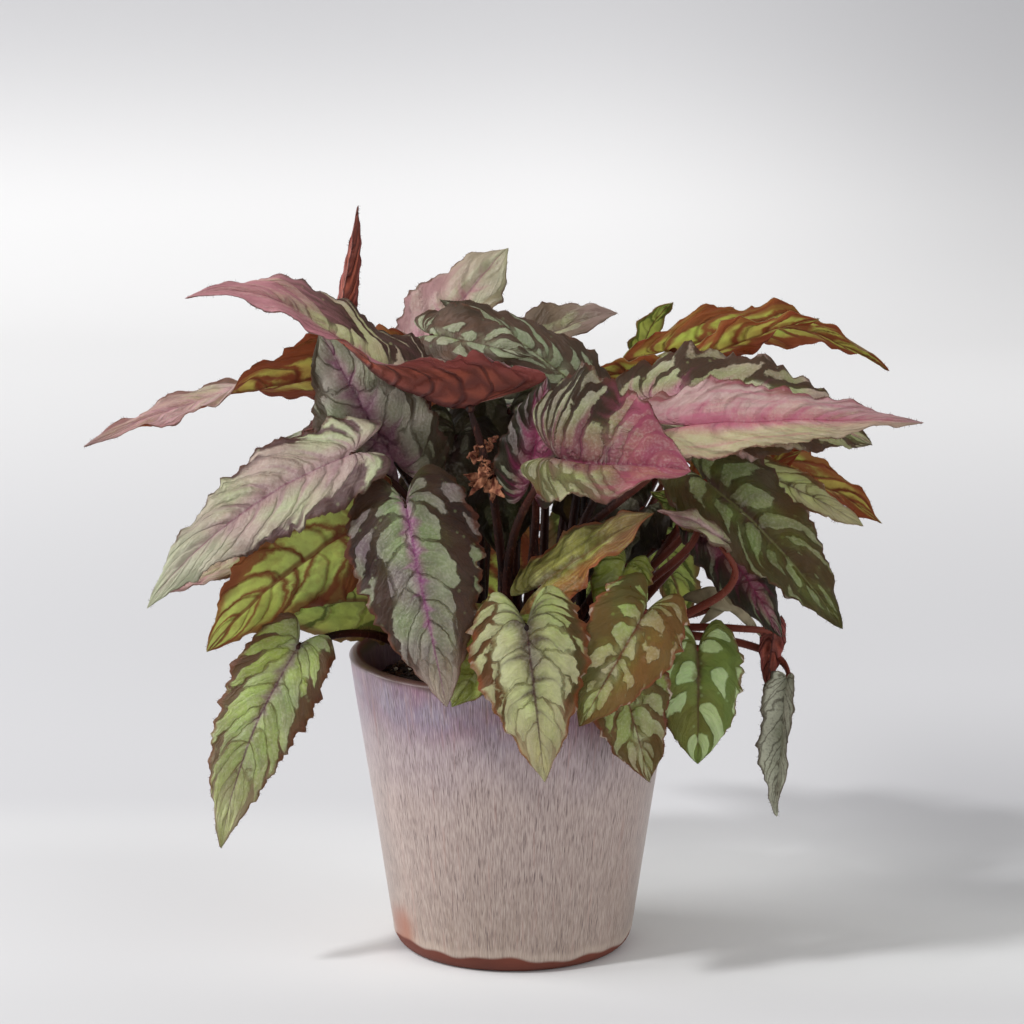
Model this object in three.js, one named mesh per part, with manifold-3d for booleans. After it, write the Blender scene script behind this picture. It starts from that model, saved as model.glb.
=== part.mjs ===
// A rex begonia in a glazed stoneware pot, in millimetres, +Z up, origin at the centre of the pot's foot.
// The pot holds soil, the soil holds a creeping rhizome with its leaf stalks, and each leaf blade sits at
// the end of its own stalk. +X is to the right and -Y towards the viewer when the pot is seen from the front.
import * as THREE from "three";
import { mergeVertices } from "three/addons/utils/BufferGeometryUtils.js";
import Module from "manifold-3d";

const wasm = await Module();
wasm.setup();

// Driving dimensions of the pot
const POT_HEIGHT = 138;
const POT_RIM_RADIUS = 75;
const POT_BASE_RADIUS = 53.9;
const POT_WALL = 6;
const POT_FLOOR = 9;
const POT_FILLET = 8;
const FOOT_RADIUS = 48;
const FOOT_ROUNDING = 9;
const RIM_ROUNDING = 2;
const POT_SIDES = 32;

// Driving dimensions of what grows in it
const SOIL_LEVEL = 123;
const SOIL_CROWN = 4;
const SEAT_GAP = 0.3;
const BLADE_THICKNESS = 0.8;
const BLADE_CLEARANCE = 0.35;
const BLADE_ROWS = 9;
const BLADE_COLUMNS = 4;
const BLADE_WIDEST_AT = 0.28;
const TOOTH = 0.06;
const RIB_DEPTH = 0.7;
const STALK_ROOT_RADIUS = 2.6;
const STALK_END_RADIUS = 1.3;
const STALK_SIDES = 4;
const STALK_STEPS = 5;
const STALK_SPREAD = 5;
const STALK_RISE = 0.4;
const STALK_ARRIVAL = 0.3;

// Materials, as they look from a step away
const LOOKS = {
  glaze: { color: 0xb3a09b, roughness: 0.45 },
  soil: { color: 0x2a1c15, roughness: 1 },
  stalk: { color: 0x6b3029, roughness: 0.6 },
  silver: { color: 0x9da68c, roughness: 0.6 },
  rose: { color: 0xb0788a, roughness: 0.6 },
  green: { color: 0x7f9a55, roughness: 0.6 },
  dark: { color: 0x55503f, roughness: 0.6 },
  underside: { color: 0x8f6a35, roughness: 0.65 },
  withered: { color: 0x7d7d6b, roughness: 0.9 },
};

// Each leaf runs from where its stalk meets the blade (base) to its tip. face is where its upper side looks
// at the base, and end where it looks at the tip. arch lifts the midrib towards the upper side, a third and
// two thirds along, and sway bends it sideways. fold raises both halves from the midrib, in degrees, to
// foldEnd at the tip. curl rolls the edges down, wave ripples them, lobe is how far the base reaches back,
// and point is how long the tip is drawn out.
const LEAVES = [
  // Upper left
  { name: "leaf_01", look: "underside", base: [-84, 10, 262], tip: [-70, 22, 340], wide: 22,
    face: [0.3, 0.9, 0.2], fold: 55 },
  { name: "leaf_02", look: "rose", base: [-19, -60, 264], tip: [-143, -58, 311], wide: 62,
    face: [0.1, 0.3, 0.9], end: [-0.1, -0.8, 0.6], arch: [-18, 38], fold: 45, foldEnd: 15,
    point: 2.5 },
  { name: "leaf_03", look: "underside", base: [-62, -10, 268], tip: [-192, -25, 238], wide: 54,
    face: [0.1, 0.85, 0.5], end: [-0.2, -0.8, 0.6], arch: [16, 14], fold: 12, point: 2.5 },
  { name: "leaf_04", look: "silver", base: [-52, -30, 231], tip: [-86, -10, 288], wide: 56,
    face: [-0.25, -0.9, 0.35], arch: [4, 4], fold: 10 },
  // Left
  { name: "leaf_05", look: "silver", base: [-71, -52, 240], tip: [-162, -56, 171], wide: 52,
    face: [-0.3, -0.6, 0.75], end: [-0.5, -0.8, 0.3], arch: [6, 8], curl: 0.15, sway: 9, lobe: 0.15,
    point: 1.6 },
  { name: "leaf_06", look: "rose", base: [-94, -20, 203], tip: [-162, -30, 171], wide: 30,
    face: [-0.3, -0.8, 0.5], arch: [4, 4], rows: 7 },
  { name: "leaf_07", look: "underside", base: [-65, -46, 209], tip: [-137, -44, 148], wide: 62,
    face: [0.1, 0.8, 0.55], arch: [12, 12] },
  { name: "leaf_08", look: "underside", base: [-56, -22, 167], tip: [-124, -12, 155], wide: 58,
    face: [0.1, 0.85, 0.5], arch: [6, 6] },
  { name: "leaf_09", look: "green", base: [-96, -50, 152], tip: [-131, -60, 61], wide: 42,
    face: [-0.15, -0.95, 0.25], arch: [4, 6], wave: 2.5, sway: 6, lobe: 0.12 },
  // Front
  { name: "leaf_10", look: "silver", base: [-47, -84, 224], tip: [-29, -96, 136], wide: 60,
    face: [-0.05, -0.95, 0.3], arch: [10, 6], fold: -10, curl: 0.15, lobe: 0.2 },
  { name: "leaf_11", look: "green", base: [-3, -72, 167], tip: [-27, -84, 133], wide: 34,
    face: [0, -0.95, 0.3], rows: 7 },
  { name: "leaf_12", look: "green", base: [6, -96, 172], tip: [14, -100, 103], wide: 54,
    face: [0, -0.95, 0.3], arch: [6, 3], fold: -8, point: 1.8 },
  { name: "leaf_13", look: "dark", base: [58, -84, 176], tip: [29, -96, 127], wide: 44,
    face: [0.1, -0.95, 0.3], arch: [4, 3] },
  { name: "leaf_14", look: "green", base: [46, -66, 148], tip: [61, -68, 94], wide: 42,
    face: [0.3, -0.93, 0.2], arch: [3, 2], rows: 7 },
  { name: "leaf_15", look: "dark", base: [83, -42, 149], tip: [83, -48, 97], wide: 40,
    face: [0.1, -0.97, 0.15], arch: [3, 3], point: 0.3 },
  { name: "leaf_16", look: "rose", base: [20, -80, 244], tip: [77, -92, 241], wide: 84,
    face: [0, -0.7, 0.7], arch: [-3, 2], fold: 35 },
  { name: "leaf_17", look: "rose", base: [8, -74, 233], tip: [15, -66, 278], wide: 34,
    face: [-0.25, -0.95, 0.15], arch: [3, 3], fold: 12, rows: 7 },
  { name: "leaf_18", look: "green", base: [12, -62, 182], tip: [62, -76, 219], wide: 34,
    face: [-0.1, -0.6, 0.8], arch: [3, 4], rows: 7 },
  { name: "leaf_19", look: "green", base: [50, -66, 193], tip: [39, -72, 167], wide: 27,
    face: [0, -0.95, 0.3], rows: 7 },
  // Right
  { name: "leaf_20", look: "dark", base: [86, -35, 225], tip: [147, -50, 160], wide: 52,
    face: [0.4, -0.75, 0.5], arch: [8, 8], fold: 12 },
  { name: "leaf_21", look: "dark", base: [88, -12, 198], tip: [121, -16, 148], wide: 32,
    face: [0.3, -0.85, 0.4], arch: [4, 4] },
  { name: "leaf_22", look: "underside", base: [119, -5, 149], tip: [116, -5, 120], wide: 12,
    face: [0, 0.95, 0.1], rows: 5 },
  { name: "leaf_23", look: "underside", base: [98, -4, 231], tip: [168, 0, 197], wide: 46,
    face: [0.2, 0.6, 0.75], arch: [8, 8] },
  { name: "leaf_24", look: "silver", base: [106, -22, 227], tip: [158, -14, 199], wide: 20,
    face: [0.2, -0.8, 0.5], arch: [4, 4], rows: 7 },
  { name: "leaf_25", look: "rose", base: [76, -86, 260], tip: [180, -74, 259], wide: 40,
    face: [0, -0.7, 0.7], arch: [6, 4], fold: 14, point: 2.3 },
  { name: "leaf_26", look: "silver", base: [68, -60, 263], tip: [160, -40, 242], wide: 62,
    face: [0.1, -0.65, 0.75], arch: [16, 16] },
  { name: "leaf_27", look: "underside", base: [73, 30, 272], tip: [172, 24, 263], wide: 56,
    face: [0.1, 0.55, 0.83], arch: [22, 22], point: 1.6 },
  { name: "leaf_28", look: "underside", base: [83, 8, 271], tip: [139, 10, 290], wide: 34,
    face: [0, 0.6, 0.8], arch: [4, 4], fold: 8, rows: 7 },
  { name: "leaf_29", look: "green", base: [57, 46, 268], tip: [74, 52, 290], wide: 17,
    face: [-0.4, 0.8, 0.4], rows: 5, lobe: 0.1 },
  { name: "leaf_30", look: "underside", base: [67, 2, 262], tip: [36, 8, 266], wide: 28,
    face: [0, 0.8, 0.6], rows: 7 },
  // Top
  { name: "leaf_31", look: "rose", base: [-40, 8, 272], tip: [-2, 24, 320], wide: 48,
    face: [-0.3, -0.75, 0.6], arch: [6, 6], point: 0.6 },
  { name: "leaf_32", look: "silver", base: [3, 30, 271], tip: [48, 30, 289], wide: 32,
    face: [0, -0.6, 0.8], arch: [6, 6], fold: 18, rows: 7 },
  { name: "leaf_33", look: "silver", base: [38, -22, 256], tip: [-33, -14, 303], wide: 38,
    face: [0.25, -0.65, 0.7], arch: [10, 8] },
  { name: "leaf_34", look: "silver", base: [-36, -32, 290], tip: [8, -50, 284], wide: 34,
    face: [0, -0.75, 0.65], rows: 7 },
  // Middle, between the stalks
  { name: "leaf_35", look: "underside", base: [84, -40, 209], tip: [61, -46, 222], wide: 18,
    face: [0, 0.9, 0.3], rows: 6 },
  { name: "leaf_36", look: "rose", base: [91, -64, 205], tip: [63, -72, 219], wide: 13,
    face: [0, -0.6, 0.8], rows: 6 },
  { name: "leaf_37", look: "underside", base: [85, 0, 208], tip: [130, 4, 230], wide: 42,
    face: [0.1, 0.8, 0.5], rows: 7 },
  { name: "leaf_38", look: "dark", base: [58, -18, 208], tip: [22, -22, 176], wide: 36,
    face: [-0.1, -0.9, 0.4], rows: 7 },
  { name: "leaf_39", look: "dark", base: [-26, 4, 236], tip: [-40, 0, 186], wide: 48,
    face: [0.1, -0.95, 0.2], rows: 7 },
  { name: "leaf_40", look: "withered", base: [125, -12, 128], tip: [121, -12, 62], wide: 22,
    face: [-0.5, -0.8, 0.1], fold: 40, wave: 3, point: 0.4, lobe: 0.04 },
  { name: "leaf_53", look: "dark", base: [-2, 24, 244], tip: [-6, 26, 176], wide: 58,
    face: [0.1, -0.95, 0.3], rows: 7 },
  { name: "leaf_54", look: "underside", base: [36, 18, 240], tip: [42, 22, 170], wide: 56,
    face: [0, 0.95, 0.2], rows: 7 },
  // Back
  { name: "leaf_41", look: "silver", base: [-40, 42, 238], tip: [-112, 84, 212], wide: 56,
    face: [-0.3, 0.3, 0.9], arch: [8, 10], rows: 7 },
  { name: "leaf_42", look: "rose", base: [-18, 62, 232], tip: [-52, 134, 188], wide: 60,
    face: [-0.1, 0.6, 0.8], arch: [10, 12], rows: 7 },
  { name: "leaf_43", look: "silver", base: [16, 62, 240], tip: [24, 142, 202], wide: 60,
    face: [0, 0.6, 0.8], arch: [10, 12], rows: 7 },
  { name: "leaf_44", look: "green", base: [46, 50, 238], tip: [104, 108, 200], wide: 56,
    face: [0.3, 0.5, 0.8], arch: [8, 12], rows: 7 },
  { name: "leaf_45", look: "dark", base: [70, 35, 210], tip: [126, 62, 178], wide: 44,
    face: [0.5, 0.6, 0.6], arch: [6, 8], rows: 7 },
  { name: "leaf_46", look: "green", base: [-52, 52, 198], tip: [-92, 108, 150], wide: 52,
    face: [-0.5, 0.6, 0.6], arch: [6, 8], rows: 7 },
  { name: "leaf_47", look: "silver", base: [-12, 84, 176], tip: [-22, 104, 100], wide: 54,
    face: [0, 0.95, 0.3], arch: [6, 4], rows: 7 },
  { name: "leaf_48", look: "dark", base: [38, 82, 172], tip: [50, 110, 98], wide: 50,
    face: [0.2, 0.9, 0.3], arch: [6, 4], rows: 7 },
  { name: "leaf_49", look: "green", base: [64, 62, 186], tip: [82, 98, 128], wide: 42,
    face: [0.5, 0.75, 0.4], arch: [4, 4], rows: 7 },
  { name: "leaf_50", look: "rose", base: [-48, 74, 172], tip: [-64, 102, 112], wide: 42,
    face: [-0.4, 0.85, 0.3], arch: [4, 4], rows: 7 },
  { name: "leaf_51", look: "silver", base: [8, 34, 258], tip: [6, 96, 268], wide: 50,
    face: [0, 0.1, 1], arch: [8, 8], rows: 7 },
  { name: "leaf_52", look: "green", base: [-26, 30, 252], tip: [-86, 66, 258], wide: 46,
    face: [-0.2, 0.2, 0.95], arch: [8, 8], rows: 7 },
];

// A spray of four dried leaflets that hang from one point on the right.
const SPRAY_JOINT = [97, -8, 163];
const SPRAY = [
  { base: SPRAY_JOINT, tip: [76, -8, 164], wide: 12, face: [0, -0.7, 0.7], rows: 4, columns: 2, wave: 0.5 },
  { base: SPRAY_JOINT, tip: [106, -6, 170], wide: 7, face: [0, -0.9, 0.3], rows: 3, columns: 2, wave: 0.5 },
  { base: SPRAY_JOINT, tip: [84, -12, 152], wide: 6, face: [0.3, -0.8, 0.4], rows: 3, columns: 2, wave: 0.5 },
  { base: SPRAY_JOINT, tip: [113, -8, 146], wide: 6, face: [0.4, -0.8, 0.3], rows: 4, columns: 2, wave: 0.5 },
];

const vec = (xyz) => new THREE.Vector3(...xyz);

// The half width of a blade at s, from 0 at the stalk to 1 at the tip, as a share of its widest half width.
// It swells to the widest place and then falls as 1 - q^fullness, times a straight taper. A point of 0 keeps
// the tip blunt, 1 is an ordinary leaf, and past 2 the sides run hollow into a long drawn-out tip.
function bladeProfile(s, point) {
  const narrowing = 0.42;
  if (s < BLADE_WIDEST_AT) return 1 - narrowing * (1 - s / BLADE_WIDEST_AT) ** 2;
  const q = (s - BLADE_WIDEST_AT) / (1 - BLADE_WIDEST_AT);
  const fullness = 2.3 - 0.4 * point;
  const taper = 0.16 * point;
  return (1 - q ** fullness) * (1 - taper * q);
}

// A leaf's middle surface: s runs along the midrib, t from -1 to 1 across it, and tooth widens it by a share.
// The two lobes at the base reach back past the stalk, furthest at four fifths of the way out.
function bladeSurface(leaf) {
  const base = vec(leaf.base);
  const tip = vec(leaf.tip);
  const chord = tip.clone().sub(base);
  const along = chord.clone().normalize();
  const face = vec(leaf.face).normalize();
  const end = vec(leaf.end ?? leaf.face).normalize();
  const up = face.clone().addScaledVector(along, -face.dot(along)).normalize();
  const across = along.clone().cross(up).multiplyScalar(leaf.sway ?? 0);
  const [archNear, archFar] = leaf.arch ?? [3, 3];
  const midrib = new THREE.CubicBezierCurve3(
    base,
    base.clone().addScaledVector(chord, 1 / 3).addScaledVector(up, archNear).add(across),
    base.clone().addScaledVector(chord, 2 / 3).addScaledVector(up, archFar).add(across),
    tip,
  );
  const half = leaf.wide / 2;
  const foldNear = leaf.fold ?? 6;
  const foldFar = leaf.foldEnd ?? foldNear;
  const curl = leaf.curl ?? 0.06;
  const wave = leaf.wave ?? 1.6;
  const lobe = leaf.lobe ?? 0.26;
  const lobeTurn = 1.95;
  const ripples = 2.5;
  const otherSide = 1.7;
  const swellFrom = 1.5;
  return (s, t, tooth = 0) => {
    const reach = s - lobe * (1 - s) ** 2 * Math.sin(lobeTurn * Math.abs(t));
    const at = THREE.MathUtils.clamp(reach, 0, 1);
    const tangent = midrib.getTangent(at);
    const centre = midrib.getPoint(at);
    if (reach < 0) centre.addScaledVector(tangent, reach * chord.length());
    const look = face.clone().lerp(end, at);
    const normal = look.addScaledVector(tangent, -look.dot(tangent)).normalize();
    const side = tangent.clone().cross(normal);
    const fold = THREE.MathUtils.degToRad(THREE.MathUtils.lerp(foldNear, foldFar, at));
    const width = half * bladeProfile(s, leaf.point ?? 1) * (1 + tooth);
    const swell = wave * Math.abs(t) ** swellFrom * Math.sqrt(4 * s * (1 - s));
    const ripple = swell * Math.sin(2 * Math.PI * ripples * s + (t < 0 ? otherSide : 0) + leaf.tip[2]);
    const rise = width * (Math.abs(t) * Math.sin(fold) - curl * t * t) + ripple;
    return {
      point: centre.addScaledVector(side, t * width * Math.cos(fold)).addScaledVector(normal, rise),
      tangent,
      normal,
    };
  };
}

// A leaf blade as a closed thin body with a toothed edge and a rib under its midrib. Both faces are split
// into triangles alike, and the last row is one point on each face.
function bladeGeometry(leaf, thickness) {
  const rows = leaf.rows ?? BLADE_ROWS;
  const columns = leaf.columns ?? BLADE_COLUMNS;
  const surface = bladeSurface(leaf);
  const grid = [];
  for (let i = 0; i <= rows; i++) {
    const tooth = i % 2 ? TOOTH : -TOOTH;
    grid.push([]);
    for (let j = 0; j <= columns; j++) {
      const edge = j === 0 || j === columns;
      grid[i].push(surface(i / rows, (2 * j) / columns - 1, edge ? tooth : 0));
    }
  }
  const step = (a, b) => b.point.clone().sub(a.point);
  const normalAt = (i, j) => {
    const { normal } = grid[i][j];
    if (i === rows) return normal;
    const alongRow = step(grid[Math.max(i - 1, 0)][j], grid[i + 1][j]);
    const across = step(grid[i][Math.max(j - 1, 0)], grid[i][Math.min(j + 1, columns)]);
    const found = alongRow.cross(across).normalize();
    return found.dot(normal) < 0 ? found.negate() : found;
  };

  const positions = [];
  const upper = [];
  const lower = [];
  const put = (i, j, height) => {
    const point = grid[i][j].point.clone().addScaledVector(normalAt(i, j), height);
    return positions.push(point.x, point.y, point.z) / 3 - 1;
  };
  for (let i = 0; i <= rows; i++) {
    upper.push([]);
    lower.push([]);
    for (let j = 0; j <= columns; j++) {
      const shared = i === rows && j > 0;
      const rib = j === columns / 2 ? RIB_DEPTH * (1 - i / rows) : 0;
      upper[i].push(shared ? upper[i][0] : put(i, j, thickness / 2));
      lower[i].push(shared ? lower[i][0] : put(i, j, -thickness / 2 - rib));
    }
  }

  const faces = [];
  const quad = (a, b, c, d) => {
    if (a !== b && b !== c) faces.push(a, b, c);
    if (c !== d && a !== d) faces.push(a, c, d);
  };
  for (let i = 0; i < rows; i++) {
    for (let j = 0; j < columns; j++) {
      quad(upper[i][j], upper[i + 1][j], upper[i + 1][j + 1], upper[i][j + 1]);
      quad(lower[i][j], lower[i][j + 1], lower[i + 1][j + 1], lower[i + 1][j]);
    }
    quad(lower[i][0], lower[i + 1][0], upper[i + 1][0], upper[i][0]);
    quad(upper[i][columns], upper[i + 1][columns], lower[i + 1][columns], lower[i][columns]);
  }
  for (let j = 0; j < columns; j++) quad(upper[0][j], upper[0][j + 1], lower[0][j + 1], lower[0][j]);
  return closedGeometry(positions, faces);
}

// A closed body from its points and faces, turned so that the faces point outwards.
function closedGeometry(positions, faces) {
  let volume = 0;
  const corner = (k) => new THREE.Vector3().fromArray(positions, 3 * k);
  for (let f = 0; f < faces.length; f += 3) {
    volume += corner(faces[f]).dot(corner(faces[f + 1]).cross(corner(faces[f + 2])));
  }
  if (volume < 0) faces.reverse();
  const geometry = new THREE.BufferGeometry();
  geometry.setAttribute("position", new THREE.Float32BufferAttribute(positions, 3));
  geometry.setIndex(faces);
  return geometry;
}

// A closed mesh as a solid that can be joined and cut, and back.
function solidOf(geometry) {
  const bare = new THREE.BufferGeometry();
  bare.setAttribute("position", geometry.getAttribute("position").clone());
  bare.setIndex(geometry.index);
  const merged = mergeVertices(bare, 1e-3);
  return new wasm.Manifold(
    new wasm.Mesh({
      numProp: 3,
      vertProperties: merged.attributes.position.array,
      triVerts: new Uint32Array(merged.index.array),
    }),
  );
}

function geometryOf(solid) {
  const mesh = solid.getMesh();
  const geometry = new THREE.BufferGeometry();
  geometry.setAttribute("position", new THREE.BufferAttribute(mesh.vertProperties, 3));
  geometry.setIndex(new THREE.BufferAttribute(mesh.triVerts, 1));
  return geometry;
}

// The pot: a tapered cup with a rounded rim and a rounded lower corner, on a flat foot.
function outerRadius(z) {
  return POT_BASE_RADIUS + ((POT_RIM_RADIUS - POT_BASE_RADIUS) * z) / POT_HEIGHT;
}

function innerRadius(z) {
  return outerRadius(z) - POT_WALL;
}

// A three.js geometry with its shared points merged and the faces that collapse on the axis dropped.
function mergedGeometry(geometry) {
  const bare = new THREE.BufferGeometry();
  bare.setAttribute("position", geometry.getAttribute("position"));
  bare.setIndex(geometry.index);
  const merged = mergeVertices(bare, 1e-3);
  const faces = [];
  for (let f = 0; f < merged.index.count; f += 3) {
    const [a, b, c] = [0, 1, 2].map((k) => merged.index.getX(f + k));
    if (a !== b && b !== c && a !== c) faces.push(a, b, c);
  }
  return closedGeometry([...merged.attributes.position.array], faces);
}

function latheOf(profile) {
  const points = profile.map(([r, z]) => new THREE.Vector2(r, z));
  return mergedGeometry(new THREE.LatheGeometry(points, POT_SIDES).rotateX(Math.PI / 2));
}

function potGeometry() {
  const cornerTurns = [20, 50, 75];
  const corner = cornerTurns.map((degrees) => {
    const turn = THREE.MathUtils.degToRad(degrees);
    const reach = outerRadius(FOOT_ROUNDING) - FOOT_RADIUS;
    return [FOOT_RADIUS + reach * Math.sin(turn), FOOT_ROUNDING * (1 - Math.cos(turn))];
  });
  const shoulder = POT_HEIGHT - RIM_ROUNDING;
  return latheOf([
    [0, 0],
    [FOOT_RADIUS, 0],
    ...corner,
    [outerRadius(FOOT_ROUNDING), FOOT_ROUNDING],
    [outerRadius(shoulder), shoulder],
    [POT_RIM_RADIUS - RIM_ROUNDING, POT_HEIGHT],
    [POT_RIM_RADIUS - POT_WALL + RIM_ROUNDING, POT_HEIGHT],
    [innerRadius(shoulder), shoulder],
    [innerRadius(POT_FLOOR + POT_FILLET), POT_FLOOR + POT_FILLET],
    [innerRadius(POT_FLOOR) - POT_FILLET, POT_FLOOR],
    [0, POT_FLOOR],
  ]);
}

// The soil fills the pot to a finger's width under the rim, a little higher in the middle.
function soilGeometry() {
  const edge = innerRadius(SOIL_LEVEL) - SEAT_GAP;
  const slopeAt = 0.7;
  const slopeRise = 0.6;
  return latheOf([
    [0, POT_FLOOR + SEAT_GAP],
    [innerRadius(POT_FLOOR) - POT_FILLET - SEAT_GAP, POT_FLOOR + SEAT_GAP],
    [innerRadius(POT_FLOOR + POT_FILLET) - SEAT_GAP, POT_FLOOR + POT_FILLET + SEAT_GAP],
    [edge, SOIL_LEVEL],
    [edge * slopeAt, SOIL_LEVEL + SOIL_CROWN * slopeRise],
    [0, SOIL_LEVEL + SOIL_CROWN],
  ]);
}

// The rhizome creeps half sunk in the soil as a chain of knobs, each given by its x, y and radius.
const RHIZOME_KNOBS = [
  [-34, 6, 9],
  [-24, -5, 10],
  [-11, -14, 11],
  [4, -18, 12],
  [18, -11, 11],
  [28, 2, 11],
  [14, 8, 11],
  [0, 15, 12],
  [-15, 20, 10],
  [13, 25, 10],
];
const RHIZOME_Z = SOIL_LEVEL + SOIL_CROWN / 2;
const RHIZOME_FLATNESS = 0.8;
const KNOB_SIDES = 7;
const KNOB_RINGS = 4;

function knobSolid([x, y, radius], extra = 0) {
  const ball = new THREE.SphereGeometry(radius + extra, KNOB_SIDES, KNOB_RINGS).rotateX(Math.PI / 2);
  ball.scale(1, 1, RHIZOME_FLATNESS).translate(x, y, RHIZOME_Z);
  return solidOf(mergedGeometry(ball));
}

// A leaf stalk: a tapering round rod along a curve, from inside the nearest knob to just under the blade.
function stalkCurve(leaf, shift, sway) {
  const join = bladeSurface(leaf)(0, 0);
  const arrival = join.tangent.clone().multiplyScalar(sway.lean).add(join.normal).normalize();
  const tilt = Math.sqrt(1 - arrival.dot(join.normal) ** 2);
  const gap = BLADE_THICKNESS / 2 + RIB_DEPTH + SEAT_GAP + STALK_END_RADIUS * tilt;
  const end = join.point.add(shift).addScaledVector(join.normal, -gap);
  const reach = ([x, y]) => Math.hypot(x - end.x, y - end.y);
  const [x, y] = [...RHIZOME_KNOBS].sort((a, b) => reach(a) - reach(b))[0];
  const away = new THREE.Vector3(end.x - x, end.y - y, 0).setLength(STALK_SPREAD);
  const root = new THREE.Vector3(x, y, RHIZOME_Z).add(away);
  const span = root.distanceTo(end);
  return new THREE.CubicBezierCurve3(
    root,
    root.clone().add(sway.near).add(new THREE.Vector3(0, 0, span * STALK_RISE)),
    end.clone().add(sway.far).addScaledVector(arrival, -span * STALK_ARRIVAL),
    end,
  );
}

function rodGeometry(curve) {
  const positions = [];
  const faces = [];
  const frames = curve.computeFrenetFrames(STALK_STEPS, false);
  for (let i = 0; i <= STALK_STEPS; i++) {
    const share = i / STALK_STEPS;
    const centre = curve.getPoint(share);
    const radius = THREE.MathUtils.lerp(STALK_ROOT_RADIUS, STALK_END_RADIUS, share);
    for (let k = 0; k < STALK_SIDES; k++) {
      const turn = (2 * Math.PI * k) / STALK_SIDES;
      const point = centre
        .clone()
        .addScaledVector(frames.normals[i], radius * Math.cos(turn))
        .addScaledVector(frames.binormals[i], radius * Math.sin(turn));
      positions.push(point.x, point.y, point.z);
    }
  }
  for (let i = 0; i < STALK_STEPS; i++) {
    for (let k = 0; k < STALK_SIDES; k++) {
      const next = (k + 1) % STALK_SIDES;
      const [a, b] = [i * STALK_SIDES + k, i * STALK_SIDES + next];
      faces.push(a, b, b + STALK_SIDES, a, b + STALK_SIDES, a + STALK_SIDES);
    }
  }
  const last = STALK_STEPS * STALK_SIDES;
  for (let k = 1; k < STALK_SIDES - 1; k++) {
    faces.push(0, k + 1, k, last, last + k, last + k + 1);
  }
  return closedGeometry(positions, faces);
}

// The first bend of a stalk that passes the test. lean is how far it leans along the midrib as it meets the
// blade, and near and far push the curve's two handles sideways. They widen as spirals at different turns, so
// that many bends are tried and the slightest that works is found.
function firstSway(passes) {
  const tries = 600;
  const turnNear = 2.4;
  const turnFar = 1.7;
  const widen = 3.5;
  for (const lean of [0.6, 0.2, 1.2, 2.5]) {
    for (let k = 0; k < tries; k++) {
      const reach = widen * Math.sqrt(k);
      const near = new THREE.Vector3(Math.cos(turnNear * k), Math.sin(turnNear * k), 0).multiplyScalar(reach);
      const far = new THREE.Vector3(Math.cos(turnFar * k), Math.sin(turnFar * k), 0).multiplyScalar(reach);
      const sway = { lean, near, far };
      if (passes(sway)) return sway;
    }
  }
  return null;
}

const boxesApart = (a, b) => [0, 1, 2].some((k) => a.min[k] > b.max[k] || b.min[k] > a.max[k]);
const touches = (a, b) => !boxesApart(a.boundingBox(), b.boundingBox()) && !a.intersect(b).isEmpty();

// Leaves are set out from the middle of the plant outwards. One that would touch another is eased forwards
// and a little up, or backwards if it grows at the back, until it is clear.
const EASE_FORWARDS = new THREE.Vector3(0, -0.976, 0.216);
const EASE_BACKWARDS = new THREE.Vector3(0, 1, 0);
const EASE_STEP = 1.5;
const BACK_FROM_Y = 30;

function placeLeaves(fixed) {
  const middleY = (leaf) => (leaf.base[1] + leaf.tip[1]) / 2;
  const placed = [];
  for (const leaf of [...LEAVES].sort((a, b) => Math.abs(middleY(a)) - Math.abs(middleY(b)))) {
    const ease = middleY(leaf) > BACK_FROM_Y ? EASE_BACKWARDS : EASE_FORWARDS;
    const guard = solidOf(bladeGeometry(leaf, BLADE_THICKNESS + 2 * BLADE_CLEARANCE));
    const shift = new THREE.Vector3();
    const moved = () => guard.translate(shift.toArray());
    const taken = [...fixed, ...placed.map((p) => p.solid)];
    while (taken.some((t) => touches(t, moved()))) shift.addScaledVector(ease, EASE_STEP);
    const solid = solidOf(bladeGeometry(leaf, BLADE_THICKNESS)).translate(shift.toArray());
    placed.push({ leaf, shift, solid, guard: moved() });
  }
  return placed;
}

const plant = new THREE.Group();

function addNode(name, look, geometry) {
  const mesh = new THREE.Mesh(geometry, new THREE.MeshStandardMaterial({ ...LOOKS[look], metalness: 0 }));
  mesh.name = name;
  plant.add(mesh);
}

const pot = solidOf(potGeometry());
const knobs = RHIZOME_KNOBS.map((knob) => knobSolid(knob));
const beds = RHIZOME_KNOBS.map((knob) => knobSolid(knob, 2 * SEAT_GAP));
const soil = solidOf(soilGeometry()).subtract(wasm.Manifold.union(beds));
const spray = wasm.Manifold.union(SPRAY.map((leaflet) => solidOf(bladeGeometry(leaflet, BLADE_THICKNESS))));
const leaves = placeLeaves([pot, soil, spray, ...knobs]);

// Each stalk bends least of those that are clear of the pot, the soil and every blade.
function stalkSolid({ leaf, shift }, solid) {
  const others = leaves.filter((other) => other.leaf !== leaf).map((other) => other.guard);
  const taken = [pot, soil, spray, solid, ...others];
  const sway = firstSway((s) => {
    const rod = solidOf(rodGeometry(stalkCurve(leaf, shift, s)));
    return !taken.some((t) => touches(t, rod));
  });
  if (!sway) throw new Error("no clear way for the stalk of " + (leaf.name ?? "the dried spray"));
  return solidOf(rodGeometry(stalkCurve(leaf, shift, sway)));
}

// Stalks that cross near their roots can close in a pocket between them, which the plant grows shut.
function withoutPockets(solid) {
  return wasm.Manifold.union(solid.decompose().filter((shell) => shell.volume() > 0));
}

const stalks = leaves.map((placed) => stalkSolid(placed, placed.solid));
stalks.push(stalkSolid({ leaf: SPRAY[0], shift: new THREE.Vector3() }, spray));
const grown = withoutPockets(wasm.Manifold.union([...knobs, ...stalks]));

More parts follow.
